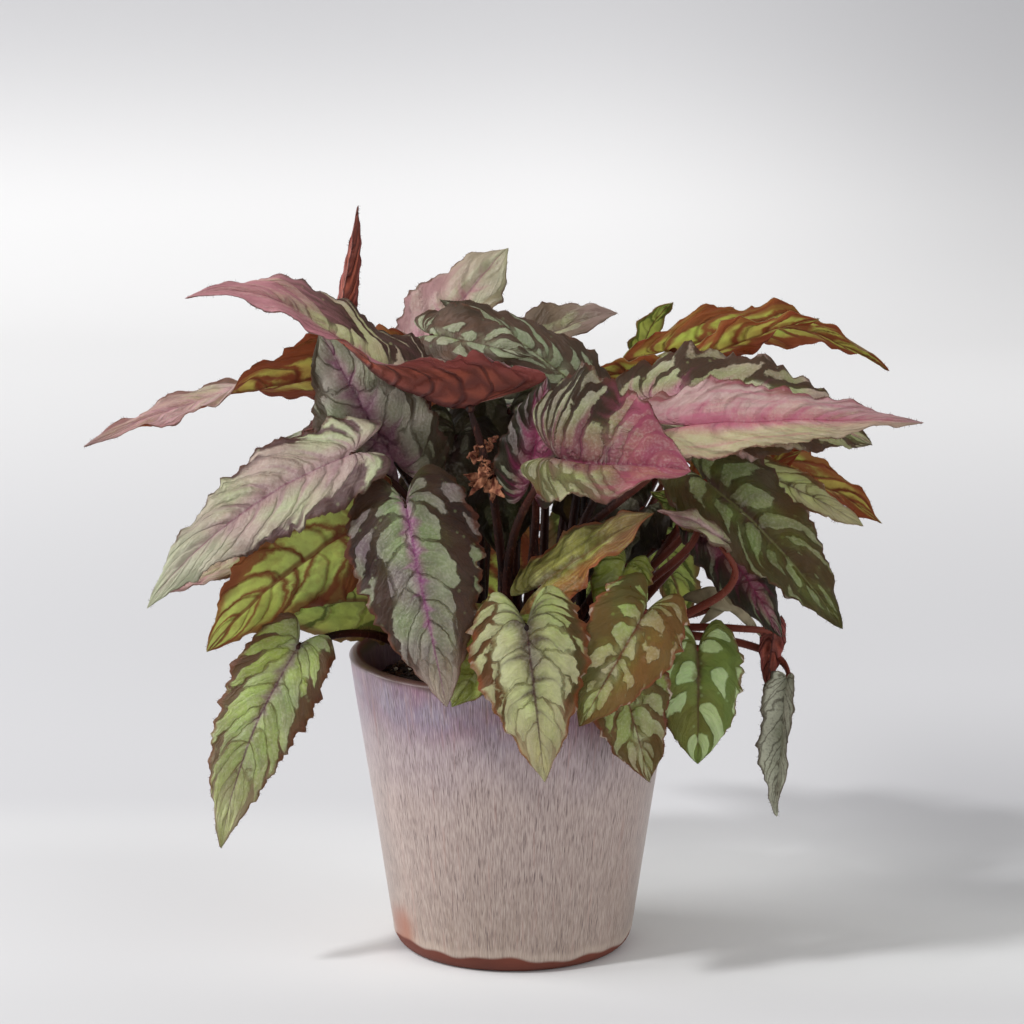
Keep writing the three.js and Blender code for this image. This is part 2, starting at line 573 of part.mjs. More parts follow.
addNode("pot", "glaze", geometryOf(pot));
addNode("soil", "soil", geometryOf(soil));
addNode("rhizome_and_stalks", "stalk", geometryOf(grown));
addNode("dried_spray", "withered", geometryOf(spray));
for (const { leaf, solid } of leaves) addNode(leaf.name, leaf.look, geometryOf(solid));

export default plant;
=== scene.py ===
# A rex begonia in a glazed stoneware pot. Sizes are in millimetres, +Z is up, and the origin is the centre
# of the pot's foot. The sections follow the plant as it is put together, from the pot to the leaves.
import math
from functools import partial

import bmesh
import bpy
import numpy as np
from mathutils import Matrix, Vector


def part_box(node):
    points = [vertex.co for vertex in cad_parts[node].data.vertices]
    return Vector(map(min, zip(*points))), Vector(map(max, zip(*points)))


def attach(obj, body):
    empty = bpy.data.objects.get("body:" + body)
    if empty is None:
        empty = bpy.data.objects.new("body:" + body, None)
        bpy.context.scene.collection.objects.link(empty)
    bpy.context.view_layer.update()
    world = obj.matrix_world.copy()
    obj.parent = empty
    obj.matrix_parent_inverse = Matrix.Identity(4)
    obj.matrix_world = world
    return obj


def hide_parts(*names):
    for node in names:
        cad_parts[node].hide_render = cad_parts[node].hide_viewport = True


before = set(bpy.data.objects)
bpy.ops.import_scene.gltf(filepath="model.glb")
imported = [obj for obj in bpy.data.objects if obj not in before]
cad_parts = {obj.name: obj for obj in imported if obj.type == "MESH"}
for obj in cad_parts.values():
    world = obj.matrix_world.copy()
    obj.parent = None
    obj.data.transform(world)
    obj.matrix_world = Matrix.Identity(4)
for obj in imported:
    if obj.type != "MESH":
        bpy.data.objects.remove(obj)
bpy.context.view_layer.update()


# Studio
# A pale paper sweep in a pale room, with painted light and shade on the paper, a lamp at the front left
# whose shadow falls to the back right, two weak large lamps at the sides, and a long lens that looks a
# little down on the plant.
MM = 0.001
CAMERA_PITCH = 12.5
CAMERA_DISTANCE = 2300
CAMERA_AIM = (-0.4, 0, 202.5)
CAMERA_REACH = 50
SENSOR_WIDTH = 36
PICTURE_WIDTH = 1024
PIXEL_SIZE = 0.4545
SWEEP_HALF_WIDTH = 4000
SWEEP_FRONT = -3500
SWEEP_BACK = 1500
SWEEP_BEND = 900
SWEEP_RISE = math.radians(50)
SWEEP_STEPS = 24
KEY_FROM = (-2520, -1820, 3650)
KEY_SIZE = 400
KEY_POWER = 95
SIDE_FROM = (-2100, 100, 900)
SIDE_SIZE = 1500
SIDE_POWER = 43
FILL_FROM = (2300, -1500, 800)
FILL_SIZE = 1500
FILL_POWER = 18
LAMP_AIM = (0, 0, 150)
ROOM_LIGHT = 0.6
SMOOTH = dict(interpolation_type="SMOOTHSTEP")


def linear(hex_colour):
    """The linear colour of an sRGB hex code, by the sRGB curve."""
    code = hex_colour.lstrip("#")
    shares = [int(code[k : k + 2], 16) / 255 for k in (0, 2, 4)]
    return tuple(c / 12.92 if c <= 0.04045 else ((c + 0.055) / 1.055) ** 2.4 for c in shares) + (1.0,)


def add(tree, kind, inputs=(), out=0, **settings):
    """Adds one node and returns one of its outputs. Its settings are set, and each of its inputs, in their
    order or by name, is set to a value or an sRGB hex code, or linked to an output."""
    node = tree.nodes.new("ShaderNode" + kind)
    for key, value in settings.items():
        setattr(node, key, value)
    for key, value in inputs.items() if isinstance(inputs, dict) else enumerate(inputs):
        if isinstance(value, bpy.types.NodeSocket):
            tree.links.new(value, node.inputs[key])
        else:
            node.inputs[key].default_value = linear(value) if isinstance(value, str) else value
    return node.outputs[out]


def finish_of(name, surface):
    """A material whose surface is surface(put), where put adds a node to this material."""
    made = bpy.data.materials.new(name)
    made.use_nodes = True
    tree = made.node_tree
    tree.nodes.clear()
    output = tree.nodes.new("ShaderNodeOutputMaterial")
    tree.links.new(surface(partial(add, tree)), output.inputs["Surface"])
    return made


def build(name, points, faces, finishes, maps=None):
    """A smooth mesh object from points in millimetres.

    faces is a list of (rows of corner numbers, number of the finish), and maps gives for each UV map a list
    of arrays that fit those rows, with two numbers a corner."""
    mesh = bpy.data.meshes.new(name)
    rows = [corners for corners, _ in faces]
    sizes = np.concatenate([np.full(len(r), r.shape[1]) for r in rows])
    mesh.vertices.add(len(points))
    mesh.vertices.foreach_set("co", (np.asarray(points, float) * MM).astype(np.float32).ravel())
    mesh.loops.add(int(sizes.sum()))
    mesh.loops.foreach_set("vertex_index", np.concatenate([r.ravel() for r in rows]).astype(np.int32))
    mesh.polygons.add(len(sizes))
    mesh.polygons.foreach_set("loop_start", (np.cumsum(sizes) - sizes).astype(np.int32))
    finish = np.concatenate([np.full(len(r), number) for r, number in faces])
    mesh.polygons.foreach_set("material_index", finish.astype(np.int32))
    mesh.polygons.foreach_set("use_smooth", np.ones(len(sizes), bool))
    for title, corners in (maps or {}).items():
        layer = mesh.uv_layers.new(name=title)
        values = np.concatenate([c.reshape(-1, 2) for c in corners])
        layer.data.foreach_set("uv", values.astype(np.float32).ravel())
    for finish in finishes:
        mesh.materials.append(finish)
    mesh.update(calc_edges=True)
    made = bpy.data.objects.new(name, mesh)
    bpy.context.scene.collection.objects.link(made)
    return made


def grid_faces(rows, columns):
    """Corner numbers of the quads of a grid that holds rows + 1 by columns + 1 points, row by row."""
    i, j = np.meshgrid(np.arange(rows), np.arange(columns), indexing="ij")
    first = (i * (columns + 1) + j).ravel()
    return np.stack([first, first + 1, first + columns + 2, first + columns + 1], 1)


def sweep_points(steps):
    """The paper's middle line, flat and then curved up on a circle, drawn out to both sides."""
    turn = np.linspace(0, SWEEP_RISE, steps)
    y = np.concatenate([[SWEEP_FRONT], SWEEP_BACK + SWEEP_BEND * np.sin(turn)])
    z = np.concatenate([[0], SWEEP_BEND * (1 - np.cos(turn))])
    left, right = (np.stack([np.full(len(y), side * SWEEP_HALF_WIDTH), y, z], 1) for side in (-1, 1))
    return np.stack([left, right], 1).reshape(-1, 3)


def paper(put):
    """Matt graduated paper with a pulp of 25 mm clouds. Every shade laid on it is painted light and shade:
    darker from 0.1 m back, lighter up the wall and darker again at its top, a painted dark corner at the top
    right, a painted shadow that deepens the lamp's shadow at the right, painted shade at the front and at
    the left near the front, and a little painted shade all over, more towards the left. Each shade lies over
    those before it. Its share is the product of its spans, and a span runs from one place in metres to
    another, and from one share to another."""
    place = put("TexCoord", out="Object")
    right = put("SeparateXYZ", (place,))
    back = put("SeparateXYZ", (place,), out="Y")
    pulp = put("TexNoise", {"Vector": place, "Scale": 40.0, "Detail": 2.0})
    tone = put("MixRGB", (pulp, "#e6e7e8", "#e9eaeb"))
    # Painted light and shade on the paper, lighter and darker by place
    painted_shades = [
        ("#d1d1d4", [(back, 0.1, 0.25, 0.0, 1.0)]),
        ("#fbfbfc", [(back, 0.5, 1.7, 0.0, 1.0)]),
        ("#cdcdd0", [(back, 1.78, 2.12, 0.0, 1.0)]),
        ("#a2a2a5", [(right, 0.0, 0.5, 0.0, 1.0), (back, 1.2, 2.0, 0.03, 0.6)]),
        # Painted shadow: deepens the lamp's shadow at the right
        (
            "#96969a",
            [(right, 0.1, 0.24, 0.0, 1.0), (back, 0.5, 0.16, 0.0, 0.48), (back, 0.0, 0.1, 0.0, 1.0)],
        ),
        ("#d7d7d9", [(right, 0.02, -0.2, 0.0, 1.0), (back, 0.25, 0.12, 0.0, 1.0)]),
        ("#d3d3d5", [(back, -0.03, -0.12, 0.0, 1.0)]),
        # Painted shade, a little all over and more towards the left
        ("#000000", [(right, 0.3, -0.25, 0.02, 0.09)]),
    ]
    for shade, spans in painted_shades:
        share = put("MapRange", spans[0], **SMOOTH)
        for span in spans[1:]:
            share = put("Math", (share, put("MapRange", span, **SMOOTH)), operation="MULTIPLY")
        tone = put("MixRGB", (share, tone, shade))
    return put("BsdfPrincipled", {"Base Color": tone, "Roughness": 0.9, "Specular IOR Level": 0.1})


sweep_faces = [(grid_faces(SWEEP_STEPS, 1), 0)]
sweep = build("sweep", sweep_points(SWEEP_STEPS), sweep_faces, [finish_of("matt_paper_with_painted_shade", paper)])


def lamp(name, place, size, power):
    """A square lamp at a place in millimetres, turned towards the middle of the plant."""
    light = bpy.data.lights.new(name, "AREA")
    light.size = size * MM
    light.energy = power
    made = bpy.data.objects.new(name, light)
    made.location = Vector(place) * MM
    made.rotation_euler = (Vector(LAMP_AIM) - Vector(place)).to_track_quat("-Z", "Y").to_euler()
    bpy.context.scene.collection.objects.link(made)


lamp("key", KEY_FROM, KEY_SIZE, KEY_POWER)
lamp("side", SIDE_FROM, SIDE_SIZE, SIDE_POWER)
lamp("fill", FILL_FROM, FILL_SIZE, FILL_POWER)

room = bpy.data.worlds.new("room")
room.use_nodes = True
room.node_tree.nodes["Background"].inputs["Color"].default_value = linear("#f8f7f6")
room.node_tree.nodes["Background"].inputs["Strength"].default_value = ROOM_LIGHT
bpy.context.scene.world = room
bpy.context.scene.view_settings.view_transform = "Standard"

lens = bpy.data.cameras.new("camera")
lens.sensor_width = SENSOR_WIDTH
lens.lens = SENSOR_WIDTH * CAMERA_DISTANCE / PIXEL_SIZE / PICTURE_WIDTH
lens.clip_end = CAMERA_REACH
pitch = math.radians(CAMERA_PITCH)
camera = bpy.data.objects.new("camera", lens)
sight = Vector((0, math.cos(pitch), -math.sin(pitch)))
camera.location = (Vector(CAMERA_AIM) - CAMERA_DISTANCE * sight) * MM
camera.rotation_euler = sight.to_track_quat("-Z", "Y").to_euler()
bpy.context.scene.collection.objects.link(camera)
bpy.context.scene.camera = camera


# Pot
# Wheel-thrown terracotta with a reactive glaze that breaks from plum under the rim to pinkish beige. It
# stops short of the floor at a ring of bare clay, and has run down the wall in fine dark lines.
POT_HEIGHT = 138
POT_RIM_RADIUS = 75
POT_BASE_RADIUS = 53.9
POT_WALL = 6
POT_FLOOR = 9
POT_SIDES = 256
POT_UNROUND = 0.25
POT_UNROUND_FROM = 60
POT_TWIST = 40
FOOT_RADIUS = 48
FOOT_ROUNDING = 9
FLOOR_ROUNDING = 8
LIP = 2.4
GLAZE_DEPTH = 0.35
GLAZE_EDGE = 6.5
BARE_SPOT_TURN = math.radians(203)
BARE_SPOT_HEIGHT = 4
BARE_SPOT_WIDTH = 0.2


def outer_radius(z):
    """The pot's outer radius at a height: a straight taper from the rim to the foot."""
    return POT_BASE_RADIUS + (POT_RIM_RADIUS - POT_BASE_RADIUS) * z / POT_HEIGHT


def arc(start, end, steps):
    """Angles in radians from start to end, both in degrees."""
    return np.radians(np.linspace(start, end, steps))


def revolve(profile, sides):
    """Points and faces of a profile turned round Z: the radius of each of its points turns through equal
    angles. The profile starts and ends on the axis, and each end is one point that closes the body."""
    radius, height = np.asarray(profile, float).T
    turn = np.arange(sides) * 2 * math.pi / sides
    ring = np.stack([np.outer(radius[1:-1], f(turn)) for f in (np.cos, np.sin)], -1)
    level = np.broadcast_to(height[1:-1, None, None], ring.shape[:2] + (1,))
    points = np.concatenate([ring, level], -1).reshape(-1, 3)
    first = len(points)
    k = np.arange(sides)
    low = np.arange(len(radius) - 3)[:, None] * sides
    wall = np.stack([low + k, low + (k + 1) % sides, low + sides + (k + 1) % sides, low + sides + k], -1)
    last_ring = first - sides
    start = np.stack([np.full(sides, first), (k + 1) % sides, k], 1)
    end = np.stack([np.full(sides, first + 1), last_ring + k, last_ring + (k + 1) % sides], 1)
    points = np.concatenate([points, [[0, 0, height[0]], [0, 0, height[-1]]]])
    return points, wall.reshape(-1, 4), np.concatenate([start, end])


def pot_profile():
    """Radius and height of the pot's outline, from the middle of its foot up the rounded corner and the
    wall, over the half-round lip and down inside to its floor."""
    corner = arc(5, 85, 8)
    reach = outer_radius(FOOT_ROUNDING) - FOOT_RADIUS
    wall = np.linspace(FOOT_ROUNDING, POT_HEIGHT - LIP, 110)
    over = arc(0, 180, 15)
    middle = POT_RIM_RADIUS - POT_WALL / 2
    inside = np.linspace(POT_HEIGHT - LIP, POT_FLOOR + FLOOR_ROUNDING, 24)
    parts = [
        [(0, 0), (FOOT_RADIUS, 0)],
        np.stack([FOOT_RADIUS + reach * np.sin(corner), FOOT_ROUNDING * (1 - np.cos(corner))], 1),
        np.stack([outer_radius(wall), wall], 1),
        np.stack([middle + POT_WALL / 2 * np.cos(over), POT_HEIGHT - LIP + LIP * np.sin(over)], 1)[1:-1],
        np.stack([outer_radius(inside) - POT_WALL, inside], 1),
        [(outer_radius(POT_FLOOR) - POT_WALL - FLOOR_ROUNDING, POT_FLOOR), (0, POT_FLOOR)],
    ]
    return np.concatenate(parts)


def glaze_edge(turn):
    """The height where the glaze stops: 3, 8 and 19 waves round the foot, 1.3, 0.9 and 0.5 mm high, and one
    bare spot, a bell curve, where a drop was wiped off."""
    waves = 1.3 * np.sin(3 * turn + 1) + 0.9 * np.sin(8 * turn + 2) + 0.5 * np.sin(19 * turn)
    aside = np.angle(np.exp(1j * (turn - BARE_SPOT_TURN)))
    return GLAZE_EDGE + waves + BARE_SPOT_HEIGHT * np.exp(-((aside / BARE_SPOT_WIDTH) ** 2))


def reactive_glaze(put):
    """Stoneware glaze, poured and fired: glassy over a satin ground. Its colour follows the height, with
    rusty stains, pits and lines that run down, and rust round the wiped spot. A noise of scale 1 has a grain
    of one metre, so clouds are 33 mm across. The other patterns lie on a cylinder one metre in radius, which
    draws them out on the wall: runs come out 2 mm wide and 30 mm long, lines 0.5 by 8 mm, and hairlines 0.35
    by 5 mm."""
    place = put("TexCoord", out="Object")
    around = put("VectorMath", (place, (1.0, 1.0, 0.0)), operation="MULTIPLY")
    around = put("VectorMath", (around,), operation="NORMALIZE")
    down = put("VectorMath", (place, (0.0, 0.0, 1.0)), operation="MULTIPLY")
    drawn_out = put("VectorMath", (around, down), operation="ADD")
    wall = put("UVMap", out="UV", uv_map="wall")
    height = put("SeparateXYZ", (wall,), out="Y")
    beside = put("Math", (put("SeparateXYZ", (wall,)), 1 - BARE_SPOT_TURN / math.tau), operation="ADD")
    beside = put("Math", (beside,), operation="ABSOLUTE")
    clouds = put("TexNoise", {"Vector": place, "Scale": 30.0, "Detail": 3.0})
    runs = put("TexNoise", {"Vector": drawn_out, "Scale": 34.0, "Detail": 3.0})
    lines = put("TexNoise", {"Vector": drawn_out, "Scale": 120.0, "Detail": 2.0})
    hairlines = put("TexNoise", {"Vector": drawn_out, "Scale": 190.0, "Detail": 1.0})
    shifted = put("Math", (clouds, 0.2, height), operation="MULTIPLY_ADD")
    lifted = put("Math", (runs, 0.16, shifted), operation="MULTIPLY_ADD")
    level = put("Math", (lifted, 0.18), operation="SUBTRACT")
    low = put("MapRange", (level, 0.0, 0.5, 0.0, 1.0))
    tone = put("MixRGB", (low, "#968376", "#a8958e"))
    middle = put("MapRange", (level, 0.5, 0.8, 0.0, 1.0), **SMOOTH)
    tone = put("MixRGB", (middle, tone, "#a18f94"))
    band = put("MapRange", (level, 0.72, 0.88, 0.0, 1.0), **SMOOTH)
    plum = put("MixRGB", (put("MapRange", (clouds, 0.42, 0.62, 0.0, 1.0)), "#7c5068", "#83768a"))
    tone = put("MixRGB", (band, tone, plum))
    streak = put("MapRange", (runs, 0.36, 0.66, 0.0, 0.12))
    tone = put("MixRGB", (streak, tone, "#d2c4bc"))
    dark = put("MapRange", (lines, 0.5, 0.75, 0.0, 0.26))
    tone = put("MixRGB", (dark, tone, "#6e5a58"))
    fine = put("MapRange", (hairlines, 0.53, 0.63, 0.0, 0.5))
    tone = put("MixRGB", (fine, tone, "#65524f"))
    pale = put("MapRange", (hairlines, 0.46, 0.32, 0.0, 0.24))
    tone = put("MixRGB", (pale, tone, "#dcd0c8"))
    pit = put("MapRange", (lines, 0.61, 0.68, 0.0, 0.65), **SMOOTH)
    tone = put("MixRGB", (pit, tone, "#4f3a3a"))
    stain = put("MapRange", (runs, 0.57, 0.72, 0.0, 0.3), **SMOOTH)
    tone = put("MixRGB", (stain, tone, "#976a5c"))
    crackled = put("MapRange", (height, 0.04, 0.012, 0.0, 0.3), **SMOOTH)
    tone = put("MixRGB", (crackled, tone, "#c4b2a2"))
    ragged = put("Math", (clouds, 0.12, height), operation="MULTIPLY_ADD")
    rusty = put("MapRange", (ragged, 0.22, 0.1, 0.0, 0.85), **SMOOTH)
    wiped = put("MapRange", (beside, 0.05, 0.015, 0.0, 1.0), **SMOOTH)
    tone = put("MixRGB", (put("Math", (rusty, wiped), operation="MULTIPLY"), tone, "#94583f"))
    lip = put("MapRange", (height, 0.96, 0.985, 0.0, 0.9), **SMOOTH)
    tone = put("MixRGB", (lip, tone, "#4a2f27"))
    clay = put("MixRGB", (clouds, "#4f241a", "#7a3c2a"))
    glazed = put("MapRange", (height, -0.008, 0.006, 0.0, 1.0), **SMOOTH)
    tone = put("MixRGB", (glazed, clay, tone))
    rough = put("MapRange", (glazed, 0.0, 1.0, 0.85, 0.4))
    bump = put("Bump", {"Height": lines, "Distance": 0.0003, "Strength": 0.35})
    coat = put("MapRange", (glazed, 0.0, 1.0, 0.0, 0.4))
    skin = {"Base Color": tone, "Roughness": rough, "Normal": bump}
    skin |= {"Coat Weight": coat, "Coat Roughness": 0.3}
    return put("BsdfPrincipled", skin)


# The bare clay lies deeper than the glaze. The wall is drawn in a little on four sides, which turn with the
# height, and less below the height POT_UNROUND_FROM
points, wall_faces, end_faces = revolve(pot_profile(), POT_SIDES)
turn = np.arctan2(points[:, 1], points[:, 0])
radius = np.hypot(points[:, 0], points[:, 1])
above = points[:, 2] - glaze_edge(turn)
outside = radius > outer_radius(points[:, 2]) - POT_WALL / 2
bare = np.where(outside & (above < 0), GLAZE_DEPTH * np.clip(-above, 0, 1), 0)
unround = POT_UNROUND * np.sin(2 * turn + points[:, 2] / POT_TWIST)
unround *= np.clip(points[:, 2] / POT_UNROUND_FROM, 0, 1)
points[:, :2] *= (1 - (bare + np.abs(unround)) / np.maximum(radius, 20))[:, None]
wall_map = np.stack([turn / math.tau, above / (POT_HEIGHT - GLAZE_EDGE)], 1)
wall_maps = {"wall": [wall_map[wall_faces], wall_map[end_faces]]}
glaze = finish_of("reactive_glaze_on_terracotta", reactive_glaze)
pot = build("glazed_pot", points, [(wall_faces, 0), (end_faces, 0)], [glaze], wall_maps)
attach(pot, "root")
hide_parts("pot")


# Soil
# Dark peat with bits of bark and white perlite, filled to a finger's width under the rim and a little higher
# in the middle.
SOIL_LEVEL = 123
SOIL_CROWN = 4
SOIL_GAP = 0.3
SOIL_SIDES = 180
SOIL_RINGS = 70
SOIL_ROUGHNESS = 1.7
SOIL_LUMP = 24
SOIL_SEED = 3
SOIL_SINK = 0.6
SOIL_SIDE_GAP = 0.5
SOIL_SIDE_HEIGHTS = (18, 70)
SOIL_EDGE_GAP = 0.4
SOIL_EDGE_DROP = 3
CRUMBS = 1100
CRUMB_SEED = 11
CRUMB_TURN_SEED = 5
CRUMB_EDGE_GAP = 3
CRUMB_SINK = 0.4
CRUMB_SIZES = (0.7, 2.0)
CRUMB_PROPORTIONS = (0.6, 1.0)


def lumps(x, y, size, seed):
    """Uneven ground from -1 to 1: waves in random directions, whose lengths and heights halve three times
    from size, five waves of each length."""
    random = np.random.default_rng(seed)
    height = np.zeros_like(x)
    for octave in range(4):
        for _ in range(5):
            turn, phase = random.uniform(0, math.tau, 2)
            wave = math.tau / size * 2**octave
            height += np.sin(wave * (x * math.cos(turn) + y * math.sin(turn)) + phase) / 2**octave
    return height / 5


def peat(put):
    """Moist peat: nearly black fibres a millimetre long, matt, with paler brown bits 1 to 3 mm across."""
    place = put("TexCoord", out="Object")
    bits = put("TexVoronoi", {"Vector": place, "Scale": 420.0}, out="Color")
    fibre = put("TexNoise", {"Vector": place, "Scale": 900.0, "Detail": 4.0})
    bit_tone = put("MixRGB", (put("SeparateXYZ", (bits,)), "#1d130e", "#463024"))
    tone = put("MixRGB", (fibre, "#120c09", bit_tone))
    bump = put("Bump", {"Height": fibre, "Distance": 0.001, "Strength": 0.8})
    return put("BsdfPrincipled", {"Base Color": tone, "Roughness": 0.95, "Normal": bump})


def bark_and_perlite(put):
    """Broken bark and perlite, matt: each bit has one tone by the 4 mm cell it lies in, mostly brown, and
    nearly white for a few."""
    place = put("TexCoord", out="Object")
    cell = put("TexVoronoi", {"Vector": place, "Scale": 260.0}, out="Color")
    share = put("SeparateXYZ", (cell,), out="Y")
    brown = put("MixRGB", (share, "#2a1a13", "#5b3d29"))
    pale = put("Math", (share, 0.9), operation="GREATER_THAN")
    tone = put("MixRGB", (pale, brown, "#b3ad9f"))
    return put("BsdfPrincipled", {"Base Color": tone, "Roughness": 0.9})


def scattered(corners, faces, places, sizes, seed):
    """Copies of a small body at places, each stretched by its sizes and turned by a random rotation."""
    random = np.random.default_rng(seed)
    turns = np.linalg.qr(random.normal(size=(len(places), 3, 3)))[0]
    turns *= np.sign(np.linalg.det(turns))[:, None, None]
    points = np.einsum("nij,nkj->nki", turns, corners[None] * sizes[:, None, :]) + places[:, None, :]
    numbers = faces[None] + len(corners) * np.arange(len(places))[:, None, None]
    return points.reshape(-1, 3), numbers.reshape(-1, faces.shape[1])


inner_edge = outer_radius(SOIL_LEVEL) - POT_WALL - SOIL_GAP
rings = np.linspace(1, 0, SOIL_RINGS)[:-1] * (inner_edge - SOIL_EDGE_GAP)
floor_z = POT_FLOOR + SOIL_GAP
profile = np.concatenate(
    [
        [(0, floor_z), (outer_radius(floor_z) - POT_WALL - FLOOR_ROUNDING - 1, floor_z)],
        [(outer_radius(z) - POT_WALL - SOIL_SIDE_GAP, z) for z in SOIL_SIDE_HEIGHTS],
        [(inner_edge - SOIL_EDGE_GAP, SOIL_LEVEL - SOIL_EDGE_DROP)],
        np.stack([rings, SOIL_LEVEL + SOIL_CROWN * (1 - (rings / inner_edge) ** 2)], 1),
        [(0, SOIL_LEVEL + SOIL_CROWN)],
    ]
)
points, wall_faces, end_faces = revolve(profile, SOIL_SIDES)
top = points[:, 2] > SOIL_LEVEL - 1
rise = SOIL_ROUGHNESS * lumps(points[top, 0], points[top, 1], SOIL_LUMP, SOIL_SEED)
points[top, 2] += rise - SOIL_SINK
soil = build("soil_filling", points, [(wall_faces, 0), (end_faces, 0)], [finish_of("moist_peat", peat)])
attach(soil, "root")
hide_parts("soil")

random = np.random.default_rng(CRUMB_SEED)
octahedron = np.array([(1, 0, 0), (-1, 0, 0), (0, 1, 0), (0, -1, 0), (0, 0, 1), (0, 0, -1)], float)
sides = np.array([(0, 2, 4), (2, 1, 4), (1, 3, 4), (3, 0, 4), (2, 0, 5), (1, 2, 5), (3, 1, 5), (0, 3, 5)])
distance = (inner_edge - CRUMB_EDGE_GAP) * np.sqrt(random.random(CRUMBS))
around = random.uniform(0, math.tau, CRUMBS)
x, y = distance * np.cos(around), distance * np.sin(around)
z = SOIL_LEVEL + SOIL_CROWN * (1 - (distance / inner_edge) ** 2)
z += SOIL_ROUGHNESS * lumps(x, y, SOIL_LUMP, SOIL_SEED) - CRUMB_SINK
sizes = random.uniform(*CRUMB_PROPORTIONS, (CRUMBS, 3)) * random.uniform(*CRUMB_SIZES, (CRUMBS, 1))
points, faces = scattered(octahedron, sides, np.stack([x, y, z], 1), sizes, CRUMB_TURN_SEED)
crumbs = build("soil_crumbs", points, [(faces, 0)], [finish_of("bark_and_perlite", bark_and_perlite)])
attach(crumbs, "root")


# Rhizome and stalks
# A knobbly creeping stem half sunk in the soil, and one juicy stalk for each leaf, red-brown and shaggy with
# fine hairs. They grew as one body, on which the facets of the solid are rounded off.
STALK_SWELL = 0.55
STALK_HAIRS = 16000
STALK_HAIR_SEED = 21
STALK_HAIR_LENGTHS = (0.7, 2.0)
STALK_HAIR_WIDTH = 0.22
STALK_HAIR_LEAN = 0.45
HAIR_CORNERS = (0, 2.094, 4.189)


def stalk_skin(put):
    """Begonia stalk: juicy red-brown skin, satin, with pale flecks 1.3 mm wide that are drawn out to 5 mm
    along the stalk. Its nearly black tone is painted shade for the middle of the plant; it is lighter in
    clouds of 22 mm, and a clear red at the right is painted light where the stalks stand in the open."""
    place = put("TexCoord", out="Object")
    drawn_out = put("Mapping", {"Vector": place, "Scale": (1.0, 1.0, 0.25)})
    clouds = put("TexNoise", {"Vector": place, "Scale": 45.0, "Detail": 2.0})
    flecks = put("TexNoise", {"Vector": drawn_out, "Scale": 800.0, "Detail": 2.0})
    shade = put("MapRange", (clouds, 0.35, 0.65, 0.0, 1.0))
    # Painted shade: nearly black, for the shade in the middle of the plant
    skin = put("MixRGB", (shade, "#180a08", "#3f1a12"))
    # Painted light: a clear red at the right, where the stalks stand in the open
    painted_light_at_right = put("MapRange", (put("SeparateXYZ", (place,)), 0.03, 0.09, 0.0, 0.85), **SMOOTH)
    skin = put("MixRGB", (painted_light_at_right, skin, "#6e3224"))
    pale = put("MapRange", (flecks, 0.6, 0.72, 0.0, 0.3))
    tone = put("MixRGB", (pale, skin, "#84513f"))
    bump = put("Bump", {"Height": flecks, "Distance": 0.0003, "Strength": 0.5})
    satin = {"Base Color": tone, "Roughness": 0.5, "Normal": bump, "Specular IOR Level": 0.18}
    return put("BsdfPrincipled", satin)


def hair_tones(put):
    """Plant hairs: matt, rust in some patches of 17 mm and pale brown in others."""
    place = put("TexCoord", out="Object")
    clouds = put("TexNoise", {"Vector": place, "Scale": 60.0, "Detail": 3.0})
    share = put("MapRange", (clouds, 0.42, 0.62, 0.0, 1.0))
    tone = put("MixRGB", (share, "#2e1510", "#6e5244"))
    return put("BsdfPrincipled", {"Base Color": tone, "Roughness": 0.7, "Specular IOR Level": 0.12})


def spikes(roots, ways, lengths, width):
    """Three-sided hairs: from each root one point lies a length away along its way, and three lie round it,
    at thirds of a turn."""
    helper = np.where(np.abs(ways[:, :1]) < 0.8, [[1.0, 0, 0]], [[0, 1.0, 0]])
    first = np.cross(ways, helper)
    first /= np.linalg.norm(first, axis=1, keepdims=True)
    second = np.cross(ways, first)
    around = [roots + width / 2 * (math.cos(a) * first + math.sin(a) * second) for a in HAIR_CORNERS]
    tips = roots + ways * lengths[:, None]
    points = np.stack([*around, tips], 1).reshape(-1, 3)
    faces = np.array([(0, 1, 3), (1, 2, 3), (2, 0, 3), (0, 2, 1)])
    numbers = faces[None] + 4 * np.arange(len(roots))[:, None, None]
    return points, numbers.reshape(-1, 3)


def unit(vectors):
    """The vectors at length 1."""
    return vectors / np.maximum(np.linalg.norm(vectors, axis=-1, keepdims=True), 1e-9)


def rounded_copy(node, levels):
    """Points, normals and faces of a solid's copy with its facets rounded off by subdivision."""
    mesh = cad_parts[node].data.copy()
    work = bmesh.new()
    work.from_mesh(mesh)
    bmesh.ops.remove_doubles(work, verts=work.verts, dist=0.01 * MM)
    work.to_mesh(mesh)
    work.free()
    rough = bpy.data.objects.new("rough", mesh)
    bpy.context.scene.collection.objects.link(rough)
    rounding = rough.modifiers.new("rounding", "SUBSURF")
    rounding.levels = rounding.render_levels = levels
    fine = rough.evaluated_get(bpy.context.evaluated_depsgraph_get()).to_mesh()
    points = np.zeros(len(fine.vertices) * 3)
    fine.vertices.foreach_get("co", points)
    normals = np.zeros(len(fine.vertices) * 3)
    fine.vertex_normals.foreach_get("vector", normals)
    faces = np.zeros(len(fine.loops), np.int32)
    fine.loops.foreach_get("vertex_index", faces)
    bpy.data.objects.remove(rough)
    return points.reshape(-1, 3) / MM, normals.reshape(-1, 3), faces.reshape(-1, 4)


stalk_points, stalk_normals, faces = rounded_copy("rhizome_and_stalks", 2)
stalk_points = stalk_points + STALK_SWELL * stalk_normals
stalk_finish = finish_of("begonia_stalk_skin", stalk_skin)
hair_finish = finish_of("begonia_hairs", hair_tones)
stalks = build("rhizome_and_hairy_stalks", stalk_points, [(faces, 0)], [stalk_finish])
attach(stalks, "root")
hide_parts("rhizome_and_stalks")

